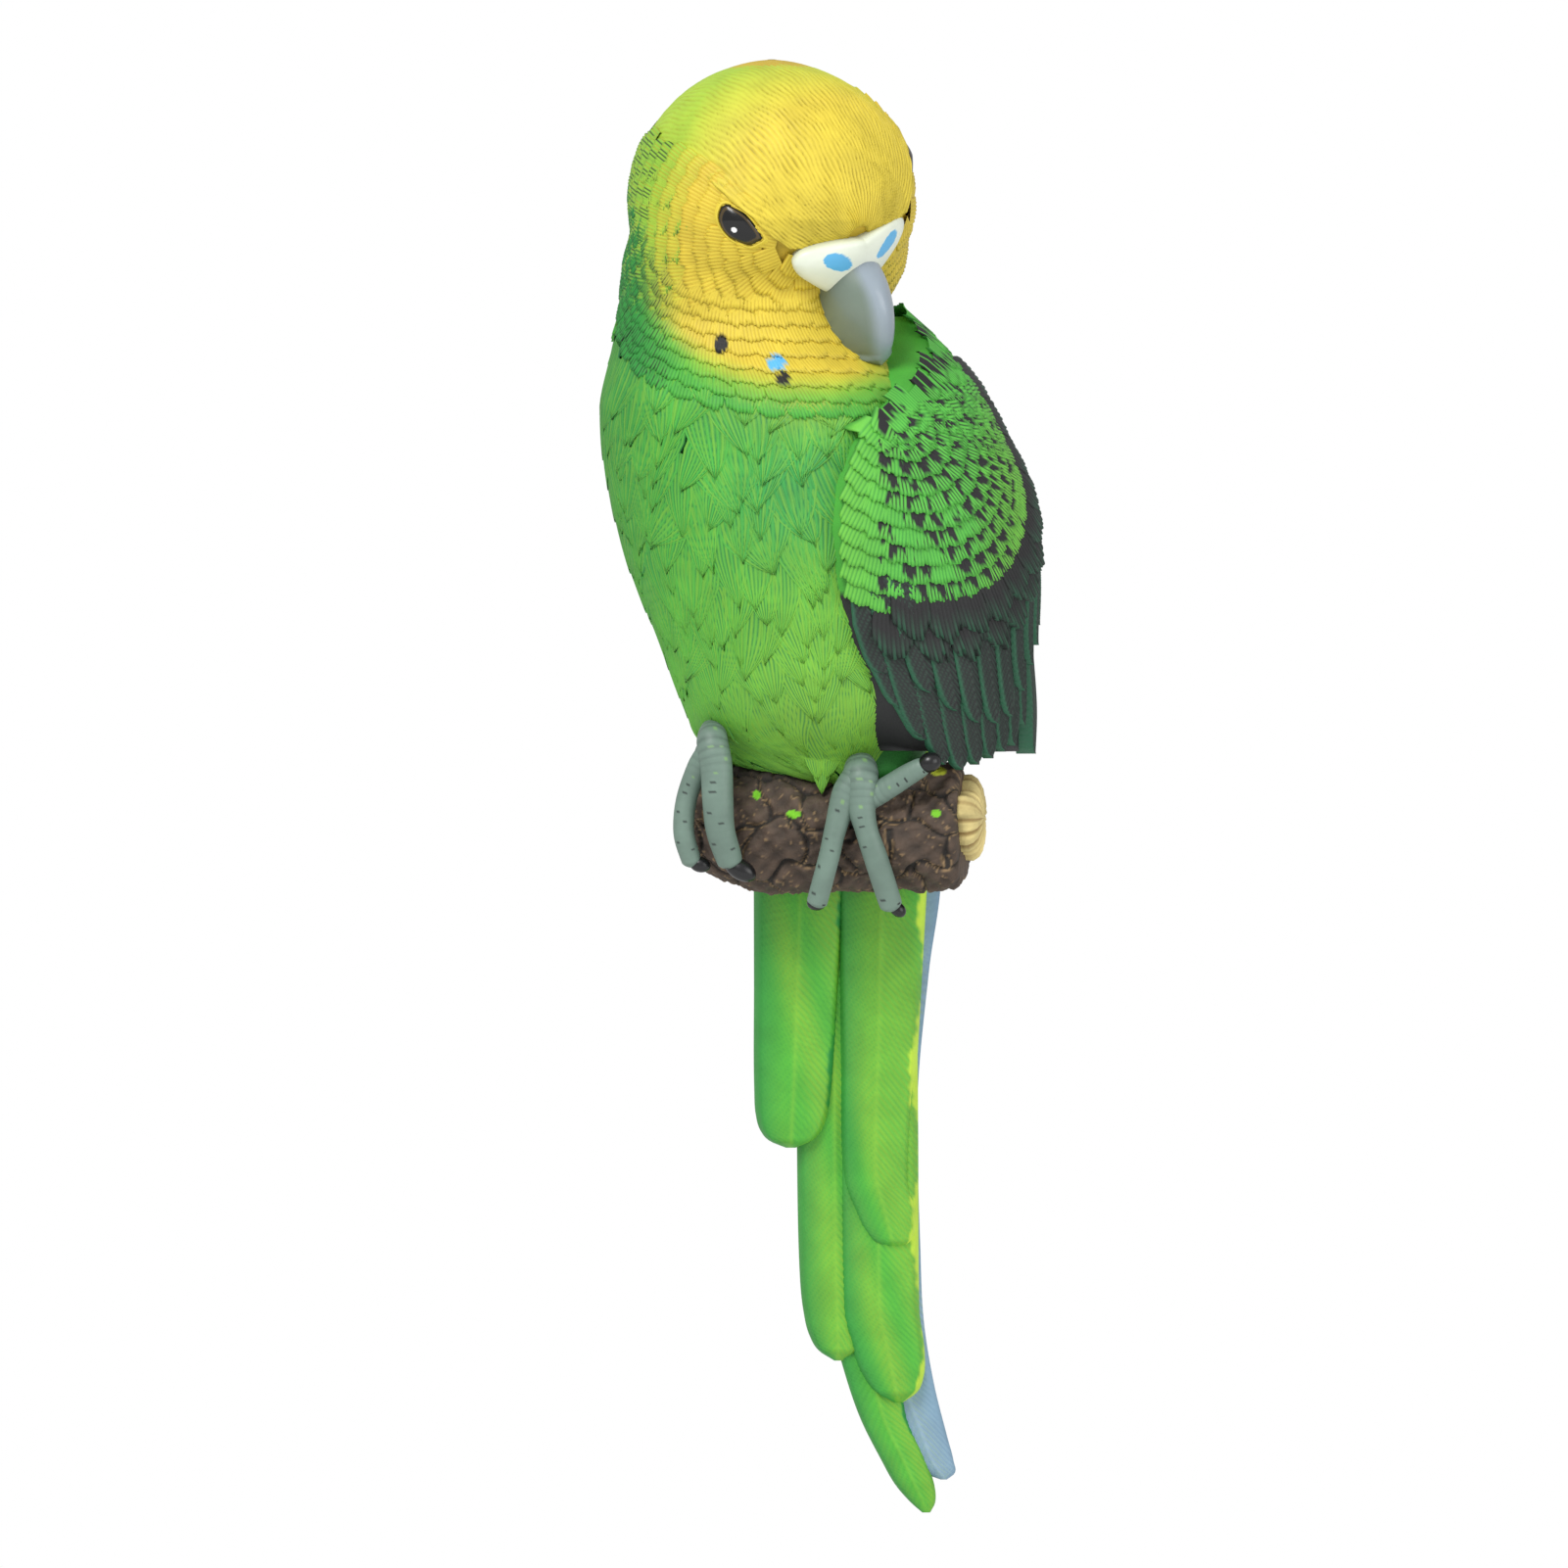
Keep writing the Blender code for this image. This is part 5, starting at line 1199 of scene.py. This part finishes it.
make_piece("broken_wood", wood, bark_paint)

# Feet. Grey-green toes hold the branch from the front, ringed with scales; each ends in a black
# glossy claw that curves over the bark.
TOE_GREY = linear(108, 130, 118)
SCUTE = 1.45
DASH_STEP = 1.9
# Toes: points as x, z, y and radius, the claw's x, z, y, its half length and height, its lean.
TOES = (
    (((-21.4, -65.4, -55.5, 2.8), (-24.0, -69.4, -55.0, 2.3), (-26.3, -75.5, -54.0, 2.1),
      (-26.9, -82.0, -54.0, 2.1),
      (-25.6, -87.2, -53.0, 2.0)), (-23.7, -88.6, -52.5), (2.2, 1.6), -14.0),
    (((-21.2, -64.0, -57.0, 3.1), (-20.4, -69.0, -57.6, 3.2), (-20.1, -75.7, -57.6, 3.1),
      (-19.6, -81.7, -56.6, 2.9),
      (-17.9, -87.4, -54.6, 2.6)), (-15.6, -89.6, -53.8), (3.4, 2.1), -30.0),
    (((8.0, -70.6, -57.6, 3.3), (5.4, -74.6, -57.8, 2.9), (3.2, -81.7, -57.8, 2.2), (2.0, -87.0, -57.2, 2.1),
      (-0.2, -95.4, -54.4, 2.1)), (-0.5, -96.3, -54.0), (1.9, 1.5), 0.0),
    (((8.4, -70.6, -57.8, 3.4), (8.4, -76.4, -58.6, 2.9), (9.4, -81.7, -58.4, 2.3), (11.3, -87.4, -57.6, 2.4),
      (14.1, -96.0, -54.2, 2.3)), (15.7, -97.6, -53.0), (1.8, 1.4), -40.0),
    (((8.6, -75.6, -57.6, 2.8), (11.4, -74.6, -58.0, 2.4), (14.4, -72.8, -59.0, 2.3),
      (17.2, -71.0, -60.2, 2.2),
      (19.8, -69.5, -61.2, 2.0)), (21.9, -68.3, -62.0), (2.3, 2.0), 20.0),
)


def add_bar(store, path, radii, flatten, paint_along, swell, count, steps):
    """Round bar along a curved path; swell(arc, spin) adds to its radius."""
    nodes = np.array(path)
    knots = np.arange(len(nodes), dtype=float)
    t = np.linspace(0, len(nodes) - 1, steps)
    centre = smooth(np.column_stack((knots, nodes)), t).T
    size = smooth(np.column_stack((knots, radii)), t)[0]
    run = np.gradient(centre, axis=0)
    run /= np.linalg.norm(run, axis=1, keepdims=True)
    across = np.cross(run, np.array([0.0, -1.0, 0.0]))
    across /= np.linalg.norm(across, axis=1, keepdims=True)
    outward = np.cross(across, run)
    arc = np.concatenate(([0.0], np.cumsum(np.linalg.norm(np.diff(centre, axis=0), axis=1))))[:, None]
    spin = np.linspace(0, 2 * math.pi, count, endpoint=False)[None, :]
    reach = size[:, None] + swell(arc, spin)
    points = (centre[:, None, :] + across[:, None, :] * (reach * np.cos(spin))[..., None]
              + outward[:, None, :] * (reach * flatten * np.sin(spin))[..., None])
    tone = paint_along(arc + 0.0 * spin, spin + 0.0 * arc)
    add_grid(store, np.concatenate((drawn_in(points[:1]), points, drawn_in(points[-1:]))),
             np.concatenate((tone[:1], tone, tone[-1:])), True)


def scutes(arc, spin):
    """Folds of skin across the front of a toe, deep at the knuckle and fading towards the claw."""
    fold = 0.5 + 0.5 * np.cos(2 * math.pi * (arc + 0.5 * np.sin(spin)) / SCUTE)
    fade = np.clip(1.25 - arc / 11.0, 0.12, 1.0)
    return (0.13 * fold ** 0.6 - 0.06) * fade * held(np.sin(spin) + 0.4)


def toe_paint(arc, spin):
    """Grey-green with painted shade in the folds and round the back, tiny black dashes and green specks."""
    fold = 0.5 - 0.5 * np.cos(2 * math.pi * (arc + 0.5 * np.sin(spin)) / SCUTE)
    fade = np.clip(1.25 - arc / 11.0, 0.05, 1.0)
    # Painted shade in the folds and on the back of the toe, which faces the branch.
    tone = mixed(TOE_GREY, linear(72, 90, 82), fold ** 3 * fade * 0.8)
    tone = mixed(tone, linear(84, 104, 98), 0.25 - np.sin(spin))
    cell = np.floor(arc / DASH_STEP)
    near = np.abs(arc / DASH_STEP - cell - 0.5) * DASH_STEP
    side = spin - 1.57 - 0.75 * np.sin(cell * 2.3)
    dash = (near < 0.17) & (np.abs(side) < 0.2) & (arc > 9.0) & (np.sin(cell * 1.9 + 0.6) > -0.5)
    tone = painted(tone, dash, linear(38, 46, 44))
    speck = (np.sin(arc * 2.6 + 1.0) > 0.75) & (arc > 3.0) & (arc < 14.0)
    speck = speck & (np.abs(spin - 1.9 - 0.5 * np.sin(cell * 1.7)) < 0.14)
    return painted(tone, speck, linear(122, 158, 108))


foot_paint = grain_material("foot_paint", 0.5, 0.00008, 1800.0, 0.12)
claw_gloss = grain_material("claw_gloss", 0.3, 0.00002, 900.0, 0.02)
toes = new_store()
claws = new_store()
for path, claw, claw_halves, lean in TOES:
    middle = [np.array((x, y, z)) for x, z, y, size in path]
    sizes = [point[3] for point in path]
    middle.insert(0, middle[0] + np.array([0.0, 5.0, 2.6]))
    sizes.insert(0, sizes[0] * 0.7)
    end_way = (middle[-1] - middle[-2]) / np.linalg.norm(middle[-1] - middle[-2])
    middle.append(middle[-1] + end_way * 1.2)
    sizes.append(sizes[-1] * 0.82)
    middle.append(middle[-1] + end_way * 0.7)
    sizes.append(sizes[-2] * 0.4)
    add_bar(toes, middle, sizes, 0.9, toe_paint, scutes, 48, 130)
    turn = math.radians(lean)
    axes = (np.array([math.cos(turn), 0.0, math.sin(turn)]), np.array([-math.sin(turn), 0.0, math.cos(turn)]),
            np.array([0.0, 1.0, 0.0]))
    half_length, half_height = claw_halves
    add_ball(claws, np.array((claw[0], claw[2], claw[1])), axes, (half_length, half_height, half_height),
             BLACK * 0.8, 20, 32)
KNUCKLES = ((-21.2, -66.6, -54.8, 3.6), (7.4, -73.6, -56.6, 4.3))
for x, z, y, wide in KNUCKLES:
    add_ball(toes, np.array((x, y, z)), np.eye(3), (wide, 3.4, 3.2), TOE_GREY, 12, 24)
make_piece("toes", toes, foot_paint)
make_piece("claws", claws, claw_gloss)

# Wall boss. The flat on the back that bears on the wall, with a keyhole for a nail, cast in one
# with the bird. It is meant to be dark green, but its face comes out pale once the keyhole is cut.
BOSS_Z = -10.5
BOSS_WIDTH, BOSS_HEIGHT = 12.0, 16.0
KEY_ENTRY, KEY_SLOT, KEY_DEPTH = 4.4, 2.5, 7.0
ENTRY_Z, SLOT_Z = -17.5, -12.5
boss_paint = grain_material("boss_paint", 0.7, 0.0001, 900.0, 0.08)
boss = new_store()
turns = np.linspace(0.0, 2 * math.pi, 96, endpoint=False)[None, :]
depth = np.array([0.0, 0.4, 14.0])[:, None]
grow = np.array([0.985, 1.0, 1.3])[:, None]
high = BOSS_Z + BOSS_HEIGHT * grow * np.sin(turns)
ring = np.stack((BOSS_WIDTH * grow * np.cos(turns), -depth + 0.0 * turns, high), axis=-1)
add_grid(boss, np.concatenate((drawn_in(ring[:1]), ring, drawn_in(ring[-1:]))), DEEP_GREEN * 0.5, True)
boss_item = make_piece("wall_boss", boss, boss_paint)
cutter_data = bmesh.new()
outline = []
start = math.degrees(math.asin(KEY_SLOT / KEY_ENTRY))
for k in range(33):
    turn = math.radians(90.0 + start + (360.0 - 2 * start) * k / 32)
    outline.append((KEY_ENTRY * math.cos(turn), ENTRY_Z + KEY_ENTRY * math.sin(turn)))
for k in range(17):
    turn = math.pi * k / 16
    outline.append((KEY_SLOT * math.cos(turn), SLOT_Z + KEY_SLOT * math.sin(turn)))
rings = [[cutter_data.verts.new((x * MM, y * MM, z * MM)) for x, z in outline] for y in (2.0, -KEY_DEPTH)]
for k in range(len(outline)):
    n = (k + 1) % len(outline)
    cutter_data.faces.new((rings[0][k], rings[0][n], rings[1][n], rings[1][k]))
cutter_data.faces.new(rings[0][::-1])
cutter_data.faces.new(rings[1])
bmesh.ops.recalc_face_normals(cutter_data, faces=cutter_data.faces)
cutter_mesh = bpy.data.meshes.new("keyhole")
cutter_data.to_mesh(cutter_mesh)
cutter_data.free()
cutter = bpy.data.objects.new("keyhole", cutter_mesh)
scene.collection.objects.link(cutter)
boss_body = bmesh.new()
boss_body.from_mesh(boss_item.data)
bmesh.ops.remove_doubles(boss_body, verts=boss_body.verts, dist=0.000001)
bmesh.ops.recalc_face_normals(boss_body, faces=boss_body.faces)
boss_body.to_mesh(boss_item.data)
boss_body.free()
cut = boss_item.modifiers.new("keyhole", "BOOLEAN")
cut.operation = "DIFFERENCE"
cut.solver = "EXACT"
cut.object = cutter
bpy.context.view_layer.update()
cut_mesh = bpy.data.meshes.new_from_object(boss_item.evaluated_get(bpy.context.evaluated_depsgraph_get()))
boss_item.modifiers.clear()
boss_item.data = cut_mesh
bpy.data.objects.remove(cutter, do_unlink=True)
for polygon in boss_item.data.polygons:
    polygon.use_smooth = False
